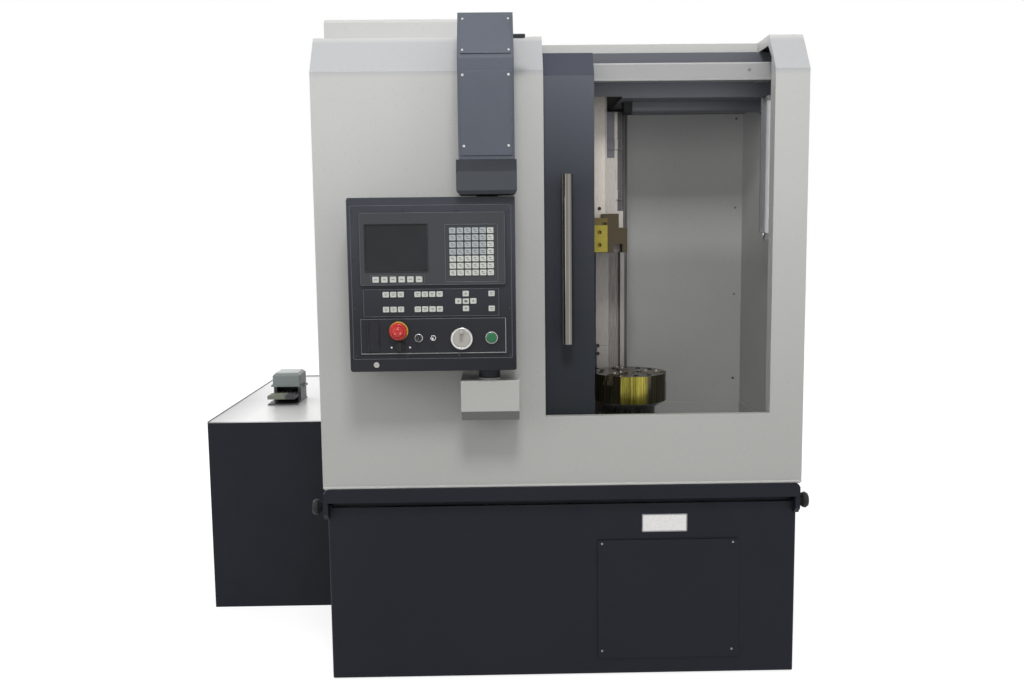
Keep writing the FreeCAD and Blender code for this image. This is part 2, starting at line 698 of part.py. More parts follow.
def foot_pedal():
    """Wide tread in front of the hood and a tongue back to the cross pin it turns on."""
    x0, x1 = HOOD_LEFT, HOOD_RIGHT
    tread = side_profile([(988, 750), (988, 766), (996, 764), (1066, 764), (1066, 752)],
                         x0 - 8, x1 - 8)
    tongue = side_profile([(1060, 752), (1060, 764), (1150, 764), (PEDAL_Y, 766),
                           (1172, PEDAL_Z), (PEDAL_Y, 748), (1150, 752)], x0 + 14, x1 - 14)
    pin = flat_sided([(4, x0 + 4), (4, x1 - 4)], (0, PEDAL_Y, PEDAL_Z), X_AXIS, 16)
    return fuse([tread, tongue, pin])


# ---- spindle, chuck and jaws ----

def headstock():
    """Spindle cartridge with its flared neck, mounting flange and motor below."""
    place = (SPINDLE_X, SPINDLE_Y, 0)
    neck = flat_sided([(118, 640), (108, 797)], place, Z_AXIS, 60)
    flange = flat_sided([(165, BED_TOP), (165, 650)], place, Z_AXIS, 16)
    motor = flat_sided([(130, 60), (130, BED_TOP + 4)], place, Z_AXIS, 16)
    bore = cyl(40 + FIT, (SPINDLE_X, SPINDLE_Y, 700), (SPINDLE_X, SPINDLE_Y, 798))
    return fuse([neck, flange, motor]).cut(bore)


def jaw_slot(angle):
    """T-shaped slot from near the chuck's centre out through its rim."""
    low = CHUCK_TOP - 34
    neck = box(25, CHUCK_R + 1, -JAW_WIDTH / 2 - FIT, JAW_WIDTH / 2 + FIT, low, CHUCK_TOP + 1)
    foot = box(25, CHUCK_R + 1, -JAW_FOOT_WIDTH / 2 - FIT, JAW_FOOT_WIDTH / 2 + FIT,
               low, low + 16)
    return at_chuck_angle(neck.fuse(foot), angle)


def at_chuck_angle(shape, angle):
    placed = shape.copy()
    placed.rotate(V(0, 0, 0), Z_AXIS, angle)
    placed.translate(V(SPINDLE_X, SPINDLE_Y, 0))
    return placed


def chuck_body():
    """Chuck with three T-slots, a taper below and the spindle nose that carries it."""
    body = flat_sided([(88, 800), (88, 829), (CHUCK_R, 853), (CHUCK_R, CHUCK_TOP)],
                      (SPINDLE_X, SPINDLE_Y, 0), Z_AXIS, 60)
    nose = cyl(40, (SPINDLE_X, SPINDLE_Y, 703), (SPINDLE_X, SPINDLE_Y, 801))
    return cut(body.fuse(nose), [jaw_slot(angle) for angle in JAW_ANGLES])


def chuck_jaw(angle):
    """Master jaw on a T-shaped foot, with a cross groove in its face."""
    low = CHUCK_TOP - 34
    half = JAW_WIDTH / 2
    foot = box(44, 104, -JAW_FOOT_WIDTH / 2, JAW_FOOT_WIDTH / 2, low + FIT, low + 16 - FIT)
    steps = [(44, low + 8), (44, JAW_TOP), (66, JAW_TOP), (66, JAW_TOP - 4), (78, JAW_TOP - 4),
             (78, JAW_TOP), (104, JAW_TOP), (104, low + 8)]
    face = face_of([V(r, -half, z) for r, z in steps])
    top = face.extrude(V(0, JAW_WIDTH, 0))
    return at_chuck_angle(fuse([foot, top]), angle)


# ---- column and vertical drive ----

def column():
    """Cast column with machined pads, relieved channels, rear pockets and screw bearings."""
    front, left, right, back = COLUMN_FRONT, COLUMN_LEFT, COLUMN_RIGHT, COLUMN_BACK
    plan = [(left, front), (700, front), (700, front + 20), (882, front + 20), (882, front),
            (944, front), (944, front + 12), (986, front + 12), (986, front), (right, front),
            (right, back - 50), (right - 50, back), (left + 50, back), (left, back - 50)]
    body = plan_profile(plan, BED_TOP, COLUMN_TOP)
    pockets = []
    for low, high in ((700, 1020), (1070, 1390), (1440, 1760)):
        corner = 40
        pocket = [(left + 60 + corner, low), (right - 60 - corner, low), (right - 60, low + corner),
                  (right - 60, high - corner), (right - 60 - corner, high),
                  (left + 60 + corner, high), (left + 60, high - corner), (left + 60, low + corner)]
        pockets.append(front_profile(pocket, front + 80, back + 1))
    bearings = []
    for z in (1000.0, 1730.0):
        bearings.append(box(SCREW_X - 35, SCREW_X + 35, 430, front + 25, z, z + 40))
    bore = cyl(SCREW_R + FIT, (SCREW_X, SCREW_Y, 999), (SCREW_X, SCREW_Y, 1771))
    return cut(fuse([body] + bearings), pockets + [bore])


def z_rails():
    """Two profiled guide rails on the column."""
    half, top = RAIL_WIDTH / 2, COLUMN_FRONT - RAIL_HEIGHT
    rails = []
    for x in RAIL_XS:
        plan = [(x - half, COLUMN_FRONT), (x - half, top + 22), (x - half + 5, top + 16),
                (x - half + 5, top + 12), (x - half, top + 6), (x - half, top),
                (x + half, top), (x + half, top + 6), (x + half - 5, top + 12),
                (x + half - 5, top + 16), (x + half, top + 22), (x + half, COLUMN_FRONT)]
        rails.append(plan_profile(plan, RAIL_BOTTOM, COLUMN_TOP - 2))
    return Part.makeCompound(rails)


def rail_stops():
    """Stop block bolted to the lower end of each rail."""
    top = COLUMN_FRONT - RAIL_HEIGHT
    stops = []
    for x in RAIL_XS:
        stops.append(box(x - 20, x + 16, top - 14, top, RAIL_BOTTOM, RAIL_BOTTOM + 80))
    return Part.makeCompound(stops)


def z_motor():
    """Servo motor on a bracket plate above the column."""
    plate = box(715, 867, 390, 620, COLUMN_TOP, COLUMN_TOP + 12)
    flange = box(SCREW_X - 65, SCREW_X + 65, 390, 520, COLUMN_TOP + 12, COLUMN_TOP + 28)
    body = box(SCREW_X - 58, SCREW_X + 58, 397, 513, COLUMN_TOP + 28, COLUMN_TOP + 165)
    cap = box(SCREW_X - 46, SCREW_X + 46, 409, 501, COLUMN_TOP + 165, COLUMN_TOP + 174)
    hole = cyl(SCREW_R + 3, (SCREW_X, SCREW_Y, COLUMN_TOP - 1), (SCREW_X, SCREW_Y, 1860))
    return fuse([plate, flange, body, cap]).cut(hole)


def z_screw():
    """Ball screw through its two bearings up into the motor."""
    return cyl(SCREW_R, (SCREW_X, SCREW_Y, 1002), (SCREW_X, SCREW_Y, 1852))


def z_saddle():
    """Saddle plate with cross ways, the channel for the cross screw and the screw's nut."""
    x0, x1, y0, y1 = SADDLE_LEFT, SADDLE_RIGHT, SADDLE_FRONT, SADDLE_BACK
    plate = box(x0, x1, y0, y1, SADDLE_BOTTOM, SADDLE_TOP)
    ways = [box(x0 + 2, x1 - 2, y0 - 8, y0, z, z + 30) for z in WAY_ZS]
    nut = box(SCREW_X - 36, SCREW_X + 36, y1, 484, 1560, 1640)
    channel = box(x0 - 1, x1 - 20, y0 - 1, y0 + 31, CROSS_SCREW_Z - 22, CROSS_SCREW_Z + 22)
    end_bore = cyl(CROSS_SCREW_R + FIT, (x1 - 21, CROSS_SCREW_Y, CROSS_SCREW_Z),
                   (x1 - 5, CROSS_SCREW_Y, CROSS_SCREW_Z))
    nut_bore = cyl(SCREW_R + FIT, (SCREW_X, SCREW_Y, 1559), (SCREW_X, SCREW_Y, 1641))
    return cut(fuse([plate, nut] + ways), [channel, end_bore, nut_bore])


def z_carriages():
    """Four guide carriages, two on each rail."""
    half, top = RAIL_WIDTH / 2 + FIT, COLUMN_FRONT - RAIL_HEIGHT - FIT
    carriages = []
    for x in RAIL_XS:
        for z in (1460.0, 1666.0):
            block = box(x - 43, x + 43, SADDLE_BACK, 477, z, z + 139)
            groove = box(x - half, x + half, top, 481, z - 1, z + 140)
            carriages.append(block.cut(groove))
    return Part.makeCompound(carriages)


# ---- cross slide and turret ----

def x_motor():
    """Servo motor of the cross slide on the saddle's left end."""
    y, z = CROSS_SCREW_Y, CROSS_SCREW_Z
    flange = box(SADDLE_LEFT - 10, SADDLE_LEFT, y - 44, y + 44, z - 44, z + 44)
    body = box(470, SADDLE_LEFT - 10, y - 40, y + 40, z - 40, z + 40)
    bore = cyl(CROSS_SCREW_R + FIT, (SADDLE_LEFT - 20, y, z), (SADDLE_LEFT + 1, y, z))
    return flange.fuse(body).cut(bore)


def x_screw():
    """Ball screw of the cross slide."""
    return cyl(CROSS_SCREW_R, (SADDLE_LEFT - 18, CROSS_SCREW_Y, CROSS_SCREW_Z),
               (SADDLE_RIGHT - 6, CROSS_SCREW_Y, CROSS_SCREW_Z))


def x_slide():
    """Cross slide: tall front plate on two ways, its screw nut and the turret housing."""
    back = SADDLE_FRONT - 0.3
    outline = [(PLATE_LEFT, 1484), (955, 1484), (955, 1667), (925, 1667), (925, 1975),
               (PLATE_LEFT, 1975)]
    plate = front_profile(outline, SLIDE_FRONT, back)
    housing = box(806, 980, SLIDE_FRONT, back, 1354, 1490)
    nut = box(770, 830, back - 2, CROSS_SCREW_Y + 12, CROSS_SCREW_Z - 16, CROSS_SCREW_Z + 16)
    grooves = [box(PLATE_LEFT - 1, 956, SADDLE_FRONT - 8 - FIT, SADDLE_FRONT, z - FIT, z + 30 + FIT)
               for z in WAY_ZS]
    screw_bore = cyl(CROSS_SCREW_R + FIT, (769, CROSS_SCREW_Y, CROSS_SCREW_Z),
                     (831, CROSS_SCREW_Y, CROSS_SCREW_Z))
    spigot_bore = cyl(32 + FIT, (TURRET_X, SLIDE_FRONT - 1, TURRET_Z), (TURRET_X, 361, TURRET_Z))
    return cut(fuse([plate, housing, nut]), grooves + [screw_bore, spigot_bore])


def turret_body():
    """Square tool turret with an open tool slot on each side, one out to the corner."""
    half = TURRET_SIZE / 2
    block = box(TURRET_X - half, TURRET_X + half, TURRET_FRONT, TURRET_BACK,
                TURRET_Z - half, TURRET_Z + half)
    spigot = cyl(32, (TURRET_X, TURRET_BACK - 2, TURRET_Z), (TURRET_X, 360, TURRET_Z))
    slot = box(TURRET_X + 18, TURRET_X + 48, TURRET_FRONT - 1, TURRET_BACK + 1,
               TURRET_Z - half - 1, TURRET_Z - half + 28)
    slots = []
    for i in range(4):
        turned_slot = slot.copy()
        turned_slot.rotate(V(TURRET_X, 0, TURRET_Z), Y_AXIS, 90 * i)
        slots.append(turned_slot)
    slots.append(box(TURRET_X + 36, TURRET_X + half + 1, TURRET_FRONT - 1, TURRET_BACK + 1,
                     TURRET_Z + 18, TURRET_Z + half + 1))
    return cut(block.fuse(spigot), slots)


def tool_block():
    """Clamping block on the turret's face with two bolt holes and a key slot."""
    block = box(842, 917, TURRET_FRONT - 24, TURRET_FRONT, 1354, 1466)
    holes = [flat_sided([(7, 10), (7, 25)], (890, TURRET_FRONT, z), V(0, -1, 0), 12)
             for z in (1377.5, 1419.0)]
    slot = box(899, 914, TURRET_FRONT - 25, TURRET_FRONT - 15, 1443, 1451)
    return cut(block, holes + [slot])


def all_pieces():
    lamp_tube, lamp_holders = work_lamp()
    pieces = {
        "base_frame": base_frame(), "levelling_feet": levelling_feet(),
        "bed_casting": bed_casting(), "drip_tray": drip_tray(),
        "lifting_bollards": lifting_bollards(), "access_cover": access_cover(),
        "front_frame": front_frame(),
        "left_panel": side_panel(0), "right_panel": side_panel(WIDTH - SHEET),
        "rear_panel": rear_panel(), "roof_panel": roof_panel(), "roof_hood": roof_hood(),
        "door_rail": door_rail(), "chamber_liner": chamber_liner(),
        "ceiling_panel": ceiling_panel(), "chip_pan": chip_pan(),
        "lamp_tube": lamp_tube, "lamp_holders": lamp_holders,
        "column": column(), "z_rails": z_rails(), "rail_stops": rail_stops(),
        "z_motor": z_motor(), "headstock": headstock(),
        "side_cabinet": side_cabinet(), "cabinet_lid": cabinet_lid(),
        "drain_duct": drain_duct(), "foot_switch_body": foot_switch_body(),
        "arm_duct": arm_duct(), "arm_covers": arm_covers(), "arm_head": arm_head(),
        "lower_bracket": lower_bracket(),
        "door_panel": door_panel(), "door_glass": door_glass(), "door_handle": door_handle(),
        "console_box": console_box(), "console_plates": console_plates(),
        "control_unit": control_unit(), "control_screen": control_screen(),
        "console_keys": console_keys(), "estop_button": estop_button(),
        "start_button": start_button(), "handwheel": handwheel(),
        "key_switch": key_switch(), "selector_knob": selector_knob(),
        "toggle_lever": toggle_lever(), "cam_lock": cam_lock(), "port_cover": port_cover(),
        "chuck_body": chuck_body(),
        "z_saddle": z_saddle(), "z_carriages": z_carriages(), "z_screw": z_screw(),
        "x_motor": x_motor(), "x_screw": x_screw(), "x_slide": x_slide(),
        "turret": Part.makeCompound([turret_body(), tool_block()]),
        "foot_pedal": foot_pedal(),
    }
    for number, angle in enumerate(JAW_ANGLES, 1):
        pieces["chuck_jaw_%d" % number] = chuck_jaw(angle)
    return pieces


def footprint_shift(pieces):
    """Move that brings the middle of the whole footprint to the origin."""
    lows = V(1e9, 1e9, 1e9)
    highs = V(-1e9, -1e9, -1e9)
    for shape in pieces.values():
        found = shape.optimalBoundingBox(False, False)
        lows = V(min(lows.x, found.XMin), min(lows.y, found.YMin), min(lows.z, found.ZMin))
        highs = V(max(highs.x, found.XMax), max(highs.y, found.YMax), highs.z)
    return V(-(lows.x + highs.x) / 2, -(lows.y + highs.y) / 2, -lows.z)


def main():
    os.makedirs("parts", exist_ok=True)
    pieces = all_pieces()
    shift = footprint_shift(pieces)
    for name, shape in pieces.items():
        shape.translate(shift)
        shape.exportStep(os.path.join("parts", name + ".step"))
    print("pieces", len(pieces), "shift", shift.x, shift.y, shift.z)


main()
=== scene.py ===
import bpy
import bmesh
import json
import math
from mathutils import Matrix, Vector

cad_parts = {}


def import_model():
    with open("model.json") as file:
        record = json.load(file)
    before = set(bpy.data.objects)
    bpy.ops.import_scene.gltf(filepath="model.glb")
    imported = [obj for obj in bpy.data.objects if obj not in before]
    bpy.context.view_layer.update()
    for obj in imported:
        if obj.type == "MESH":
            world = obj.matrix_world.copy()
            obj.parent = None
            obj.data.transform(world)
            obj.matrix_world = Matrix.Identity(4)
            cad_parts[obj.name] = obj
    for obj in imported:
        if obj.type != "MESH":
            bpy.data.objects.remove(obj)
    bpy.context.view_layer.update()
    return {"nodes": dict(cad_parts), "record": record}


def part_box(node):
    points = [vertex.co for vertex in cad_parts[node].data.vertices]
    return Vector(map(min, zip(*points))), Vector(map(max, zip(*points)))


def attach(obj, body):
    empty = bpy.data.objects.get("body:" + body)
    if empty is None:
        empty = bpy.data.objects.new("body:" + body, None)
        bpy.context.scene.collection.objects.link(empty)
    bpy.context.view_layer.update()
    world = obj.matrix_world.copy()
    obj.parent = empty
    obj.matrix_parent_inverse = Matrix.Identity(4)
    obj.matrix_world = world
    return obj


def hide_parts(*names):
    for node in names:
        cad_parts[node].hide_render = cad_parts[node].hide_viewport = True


# Looks of a small vertical turning lathe. Places are written in millimetres from the left
# front corner of the housing at floor level, as in the construction, and turned into
# metres in the part's own frame by place().

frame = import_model()
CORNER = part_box("base_frame")[0]
ORIGIN = CORNER - Vector((0.008, 0.020, 0.005))


def place(x, y, z):
    return ORIGIN + Vector((x, y, z)) / 1000.0


# ---------------------------------------------------------------- materials

def new_material(name):
    material = bpy.data.materials.new(name)
    material.use_nodes = True
    nodes = material.node_tree.nodes
    return material, nodes, material.node_tree.links, nodes["Principled BSDF"]


def noise(nodes, links, scale, detail=4.0, stretch=(1, 1, 1), rough=0.55):
    """Noise in object space, stretched along the axes."""
    coordinates = nodes.new("ShaderNodeTexCoord")
    mapping = nodes.new("ShaderNodeMapping")
    mapping.inputs["Scale"].default_value = stretch
    texture = nodes.new("ShaderNodeTexNoise")
    texture.inputs["Scale"].default_value = scale
    texture.inputs["Detail"].default_value = detail
    texture.inputs["Roughness"].default_value = rough
    links.new(coordinates.outputs["Object"], mapping.inputs["Vector"])
    links.new(mapping.outputs["Vector"], texture.inputs["Vector"])
    return texture.outputs["Fac"]


def ramp(nodes, links, source, stops):
    """Colour ramp with (position, colour) stops; a plain number stands for a grey."""
    node = nodes.new("ShaderNodeValToRGB")
    elements = node.color_ramp.elements
    while len(elements) < len(stops):
        elements.new(0.5)
    for element, (position, colour) in zip(elements, stops):
        if not hasattr(colour, "__len__"):
            colour = (colour, colour, colour)
        element.position = position
        element.color = (*colour[:3], 1.0)
    links.new(source, node.inputs["Fac"])
    return node.outputs["Color"]


def mixed(nodes, links, factor, a, b, mode="MIX"):
    """Mix of two colours; each may be a socket or a colour, and the factor too."""
    node = nodes.new("ShaderNodeMix")
    node.data_type = "RGBA"
    node.blend_type = mode
    for index, value in ((0, factor), (6, a), (7, b)):
        if isinstance(value, bpy.types.NodeSocket):
            links.new(value, node.inputs[index])
        elif index == 0:
            node.inputs[index].default_value = value
        else:
            node.inputs[index].default_value = (*value[:3], 1.0)
    return node.outputs[2]


def edge_mask(nodes, links, radius, strength=6.0):
    """White along outer edges, black on flats."""
    bevel = nodes.new("ShaderNodeBevel")
    bevel.samples = 4
    bevel.inputs["Radius"].default_value = radius
    geometry = nodes.new("ShaderNodeNewGeometry")
    dot = nodes.new("ShaderNodeVectorMath")
    dot.operation = "DOT_PRODUCT"
    links.new(bevel.outputs["Normal"], dot.inputs[0])
    links.new(geometry.outputs["Normal"], dot.inputs[1])
    turned = nodes.new("ShaderNodeMath")
    turned.operation = "SUBTRACT"
    turned.inputs[0].default_value = 1.0
    links.new(dot.outputs["Value"], turned.inputs[1])
    scaled = nodes.new("ShaderNodeMath")
    scaled.operation = "MULTIPLY"
    scaled.use_clamp = True
    scaled.inputs[1].default_value = strength
    links.new(turned.outputs["Value"], scaled.inputs[0])
    return scaled.outputs["Value"], bevel.outputs["Normal"]


def fade(nodes, links, axis, start, end):
    """0 at one drawn coordinate and 1 at another along X, Y or Z, fixed to the piece."""
    offset = ORIGIN["XYZ".index(axis)]
    coordinates = nodes.new("ShaderNodeTexCoord")
    parts = nodes.new("ShaderNodeSeparateXYZ")
    span = nodes.new("ShaderNodeMapRange")
    span.inputs["From Min"].default_value = offset + start / 1000.0
    span.inputs["From Max"].default_value = offset + end / 1000.0
    links.new(coordinates.outputs["Object"], parts.inputs["Vector"])
    links.new(parts.outputs[axis], span.inputs["Value"])
    return span.outputs["Result"]


def zone_mask(nodes, links, limits):
    """1 inside a region given as (axis, start, end) fades, which are multiplied."""
    mask = None
    for axis, start, end in limits:
        part = fade(nodes, links, axis, start, end)
        if mask is None:
            mask = part
            continue
        product = nodes.new("ShaderNodeMath")
        product.operation = "MULTIPLY"
        links.new(mask, product.inputs[0])
        links.new(part, product.inputs[1])
        mask = product.outputs["Value"]
    return mask


def coated(name, colour, zones=(), edge=None, rough=0.5, texture=0.15, grain=900.0,
           edge_radius=0.002, variation=0.05, spec=0.5, coat=0.0, coat_rough=0.03):
    """Painted or moulded surface: slow cloudiness, fine texture, worn edges, varied gloss.

    Each zone is (limits, colour) and has another colour inside its limits.
    """
    material, nodes, links, surface = new_material(name)
    cloud = noise(nodes, links, 2.2, 5.0)
    darker = tuple(c * (1.0 - variation) for c in colour)
    lighter = tuple(min(1.0, c * (1.0 + variation)) for c in colour)
    tone = ramp(nodes, links, cloud, [(0.3, darker), (0.7, lighter)])
    for limits, other in zones:
        tone = mixed(nodes, links, zone_mask(nodes, links, limits), tone, other)
    specks = ramp(nodes, links, noise(nodes, links, 160.0, 2.0), [(0.62, 0.0), (0.72, 1.0)])
    tone = mixed(nodes, links, specks, tone, mixed(nodes, links, 0.12, tone, (0, 0, 0)))
    worn, rounded = edge_mask(nodes, links, edge_radius)
    chips = ramp(nodes, links, noise(nodes, links, 45.0, 6.0), [(0.42, 0.0), (0.62, 0.8)])
    worn_here = mixed(nodes, links, 1.0, worn, chips, "MULTIPLY")
    tone = mixed(nodes, links, worn_here, tone, edge or tuple(min(1, c * 1.25) for c in colour))
    links.new(tone, surface.inputs["Base Color"])
    gloss = ramp(nodes, links, noise(nodes, links, 9.0, 5.0),
                 [(0.3, rough * 0.86), (0.7, min(1.0, rough * 1.14))])
    links.new(gloss, surface.inputs["Roughness"])
    bump = nodes.new("ShaderNodeBump")
    bump.inputs["Strength"].default_value = texture
    bump.inputs["Distance"].default_value = 0.0004
    links.new(noise(nodes, links, grain, 2.0), bump.inputs["Height"])
    links.new(rounded, bump.inputs["Normal"])
    links.new(bump.outputs["Normal"], surface.inputs["Normal"])
    surface.inputs["Specular IOR Level"].default_value = spec
    surface.inputs["Coat Weight"].default_value = coat
    surface.inputs["Coat Roughness"].default_value = coat_rough
    return material


def machined(name, colour, rough=0.3, stretch=(1, 1, 1), metallic=1.0, scale=60.0,
             zones=(), depth=0.72, lay=(0.3, 0.7)):
    """Ground or brushed metal with lay lines, zones and brighter edges."""
    material, nodes, links, surface = new_material(name)
    lines = noise(nodes, links, scale, 6.0, stretch, 0.7)
    tone = ramp(nodes, links, lines, [(lay[0], tuple(c * depth for c in colour)),
                                      (lay[1], colour)])
    for limits, other in zones:
        inside = ramp(nodes, links, lines, [(lay[0], tuple(c * depth for c in other)),
                                            (lay[1], other)])
        tone = mixed(nodes, links, zone_mask(nodes, links, limits), tone, inside)
    worn, rounded = edge_mask(nodes, links, 0.0012)
    tone = mixed(nodes, links, worn, tone, tuple(min(1.0, c * 1.3) for c in colour))
    links.new(tone, surface.inputs["Base Color"])
    gloss = ramp(nodes, links, lines, [(0.25, rough * 1.35), (0.75, rough * 0.75)])
    links.new(gloss, surface.inputs["Roughness"])
    bump = nodes.new("ShaderNodeBump")
    bump.inputs["Strength"].default_value = 0.12
    bump.inputs["Distance"].default_value = 0.0002
    links.new(lines, bump.inputs["Height"])
    links.new(rounded, bump.inputs["Normal"])
    links.new(bump.outputs["Normal"], surface.inputs["Normal"])
    surface.inputs["Metallic"].default_value = metallic
    return material


def glassy(name, colour, alpha, rough, coat=0.3, spec=0.5):
    """Dark or frosted glass with faint smears in its gloss."""
    material, nodes, links, surface = new_material(name)
    smear = noise(nodes, links, 12.0, 4.0)
    links.new(ramp(nodes, links, smear, [(0.3, tuple(c * 0.85 for c in colour)), (0.7, colour)]),
              surface.inputs["Base Color"])
    links.new(ramp(nodes, links, smear, [(0.3, rough), (0.75, rough * 2.2)]),
              surface.inputs["Roughness"])
    surface.inputs["Alpha"].default_value = alpha
    surface.inputs["Coat Weight"].default_value = coat
    surface.inputs["Specular IOR Level"].default_value = spec
    return material


# Painted shade: the housing paint turns darker from z 1750 down to z 850, and a band at z
# 1905-1998 in the front 80 mm is darker as painted shade on the slanted faces up there.
HOUSING = coated("housing_paint", (0.525, 0.525, 0.513), rough=0.45, texture=0.06, grain=700,
                 edge=(0.62, 0.62, 0.605), variation=0.025,
                 zones=[((("Z", 1750, 850),), (0.435, 0.435, 0.418)),
                        ((("Z", 1885, 1905), ("Z", 2012, 1998), ("Y", 170, 80)),
                         (0.42, 0.425, 0.435))])
# Painted shade: the bracket's underside chamfer below z 897 is darker.
BRACKET = coated("bracket_paint", (0.43, 0.43, 0.412), rough=0.45, texture=0.10, grain=700,
                 edge=(0.60, 0.60, 0.585), variation=0.025,
                 zones=[((("Z", 898.5, 896.5),), (0.27, 0.27, 0.255))])
RAIL_PAINT = coated("rail_paint", (0.36, 0.36, 0.36), rough=0.4, texture=0.12, grain=700,
                    edge=(0.55, 0.55, 0.55), variation=0.04)
BASE = coated("base_paint", (0.0090, 0.0098, 0.0160), rough=0.52, texture=0.22, grain=600,
              edge=(0.05, 0.053, 0.06), variation=0.15, spec=0.2)
# Painted sheen and shade by height: the door is lightest just below its chamfered top and darker
# towards the bottom, and the chamfer above z 1894 keeps the darker base colour as painted shade.
DOOR = coated("door_paint", (0.058, 0.063, 0.085), rough=0.5, texture=0.2, grain=600,
              edge=(0.16, 0.17, 0.19), variation=0.07, spec=0.16,
              zones=[((("Z", 1894, 1890),), (0.105, 0.112, 0.135)),
                     ((("Z", 1890, 1560),), (0.044, 0.049, 0.061)),
                     ((("Z", 1620, 800),), (0.014, 0.017, 0.021))])
ARM = coated("arm_paint", (0.085, 0.095, 0.120), rough=0.45, texture=0.25, grain=600,
             edge=(0.22, 0.23, 0.26), variation=0.08, spec=0.3)
# Painted shade: the upward slope of the arm head above z 1594 is darker.
HEAD = coated("arm_head_paint", (0.060, 0.066, 0.076), rough=0.55, texture=0.25, grain=600,
              edge=(0.14, 0.15, 0.17), variation=0.08, spec=0.18,
              zones=[((("Z", 1591, 1594),), (0.017, 0.020, 0.027))])
# Painted light: the inner walls turn much lighter from z 1300 up to z 1700, in place of light on
# their upper part.
LINER = coated("inner_sheet", (0.385, 0.385, 0.375), rough=0.42, texture=0.07, grain=800,
               edge=(0.55, 0.55, 0.53), variation=0.06,
               zones=[((("Z", 1300, 1700),), (0.80, 0.80, 0.79))])
# Painted shade: the sheet above z 1925, over the door rail, is darker.
CEILING = coated("ceiling_sheet", (0.15, 0.16, 0.185), rough=0.42, texture=0.12, grain=800,
                 edge=(0.26, 0.27, 0.30), variation=0.08,
                 zones=[((("Z", 1915, 1925),), (0.10, 0.105, 0.125))])
CAST = coated("cast_paint", (0.30, 0.285, 0.27), rough=0.55, texture=0.5, grain=350,
              edge=(0.45, 0.43, 0.41), variation=0.12)
STEEL = machined("ground_steel", (0.50, 0.48, 0.455), rough=0.34, stretch=(1, 1, 14))
PLATE = machined("slide_plate", (0.88, 0.815, 0.74), rough=0.5, stretch=(9, 9, 0.7),
                 metallic=0.25, depth=0.74, zones=[((("X", 917, 920),), (0.62, 0.58, 0.53))])
SADDLE = machined("slide_saddle", (0.66, 0.62, 0.58), rough=0.36, stretch=(9, 9, 1),
                  metallic=0.4, zones=[((("X", 958, 956), ("Z", 1664, 1668)),
                                        (0.19, 0.19, 0.215)),
                                       ((("X", 966, 968),), (0.10, 0.095, 0.10))])
COLUMN = machined("column_face", (0.34, 0.315, 0.295), rough=0.45, stretch=(9, 9, 0.3),
                  metallic=0.2, scale=40, depth=0.55, lay=(0.38, 0.62),
                  zones=[((("X", 1004, 1005),), (0.10, 0.095, 0.10)),
                         ((("X", 984, 986), ("X", 990, 988)), (0.04, 0.035, 0.035))])
RAIL = machined("guide_rail", (0.40, 0.375, 0.355), rough=0.4, stretch=(9, 9, 0.6),
                metallic=0.35, scale=40)
STRIP = machined("strip_steel", (0.40, 0.375, 0.355), rough=0.4, stretch=(9, 9, 0.6),
                 metallic=0.35, scale=40, zones=[((("Z", 1405, 1425),), (0.11, 0.105, 0.105))])
# Painted light and shade: faces in front of y 258.6 are yellow, partly a yellow oil tint and
# partly a painted reflection on the lit front, darker above z 1443; the near-black rest is painted
# shade.
OILED = machined("oiled_steel", (0.066, 0.049, 0.022), rough=0.42, stretch=(1, 1, 5),
                 metallic=0.35, zones=[((("Y", 259.6, 258.6),), (0.40, 0.33, 0.042)),
                                       ((("Y", 259.6, 258.6), ("Z", 1441, 1443)),
                                        (0.15, 0.11, 0.028))])
# Painted reflection: the yellow band on the front of the rim (x 958-1036, in front of y 280)
# stands for a yellow reflection and turns with the chuck.
CHUCK = machined("chuck_steel", (0.12, 0.11, 0.065), rough=0.2, stretch=(1, 1, 0.02),
                 metallic=0.8, scale=110, depth=0.3, lay=(0.43, 0.57),
                 zones=[((("X", 950, 958), ("X", 1044, 1036), ("Y", 300, 280)),
                         (0.38, 0.33, 0.05)),
                        ((("Z", 853.5, 852.5),), (0.20, 0.20, 0.19)),
                        ((("Z", 944.5, 945.5),), (0.10, 0.078, 0.058))])
JAW = machined("jaw_steel", (0.20, 0.165, 0.12), rough=0.35, stretch=(1, 1, 8), metallic=0.6)
NECK = machined("neck_paint", (0.48, 0.48, 0.46), rough=0.4, stretch=(1, 1, 6), metallic=0.2)
CHROME = machined("chromed", (0.20, 0.185, 0.17), rough=0.14, stretch=(9, 9, 0.4), scale=30,
                  depth=0.85)
SILVER = machined("plated_silver", (0.72, 0.71, 0.70), rough=0.25, stretch=(6, 1, 6))
BLACKENED = machined("blackened_steel", (0.055, 0.055, 0.06), rough=0.42, stretch=(6, 6, 1))
GREY_SCREW = machined("grey_screw", (0.30, 0.30, 0.31), rough=0.4, stretch=(6, 6, 1))
# Painted shade: the plastic darkens from z 1420 down to z 1160, and more below z 1050,
# increasingly towards x 560.
PLASTIC = coated("panel_plastic", (0.042, 0.046, 0.057), rough=0.42, texture=0.3, grain=1400,
                 edge=(0.11, 0.12, 0.14), variation=0.08, edge_radius=0.0015, spec=0.24,
                 zones=[((("Z", 1420, 1160),), (0.015, 0.0155, 0.0205)),
                        ((("Z", 1075, 1050), ("X", 160, 560)), (0.008, 0.009, 0.012))])
TRIM = coated("panel_trim", (0.085, 0.092, 0.112), rough=0.35, texture=0.2, grain=1400,
              edge=(0.16, 0.17, 0.19), variation=0.06, edge_radius=0.001)
UNIT = coated("unit_plastic", (0.024, 0.027, 0.032), rough=0.38, texture=0.3, grain=1600,
              edge=(0.09, 0.10, 0.11), variation=0.08, edge_radius=0.0012)
KEYS = coated("key_plastic", (0.54, 0.56, 0.51), rough=0.45, texture=0.2, grain=1800,
              edge=(0.70, 0.71, 0.67), variation=0.03, edge_radius=0.0006)
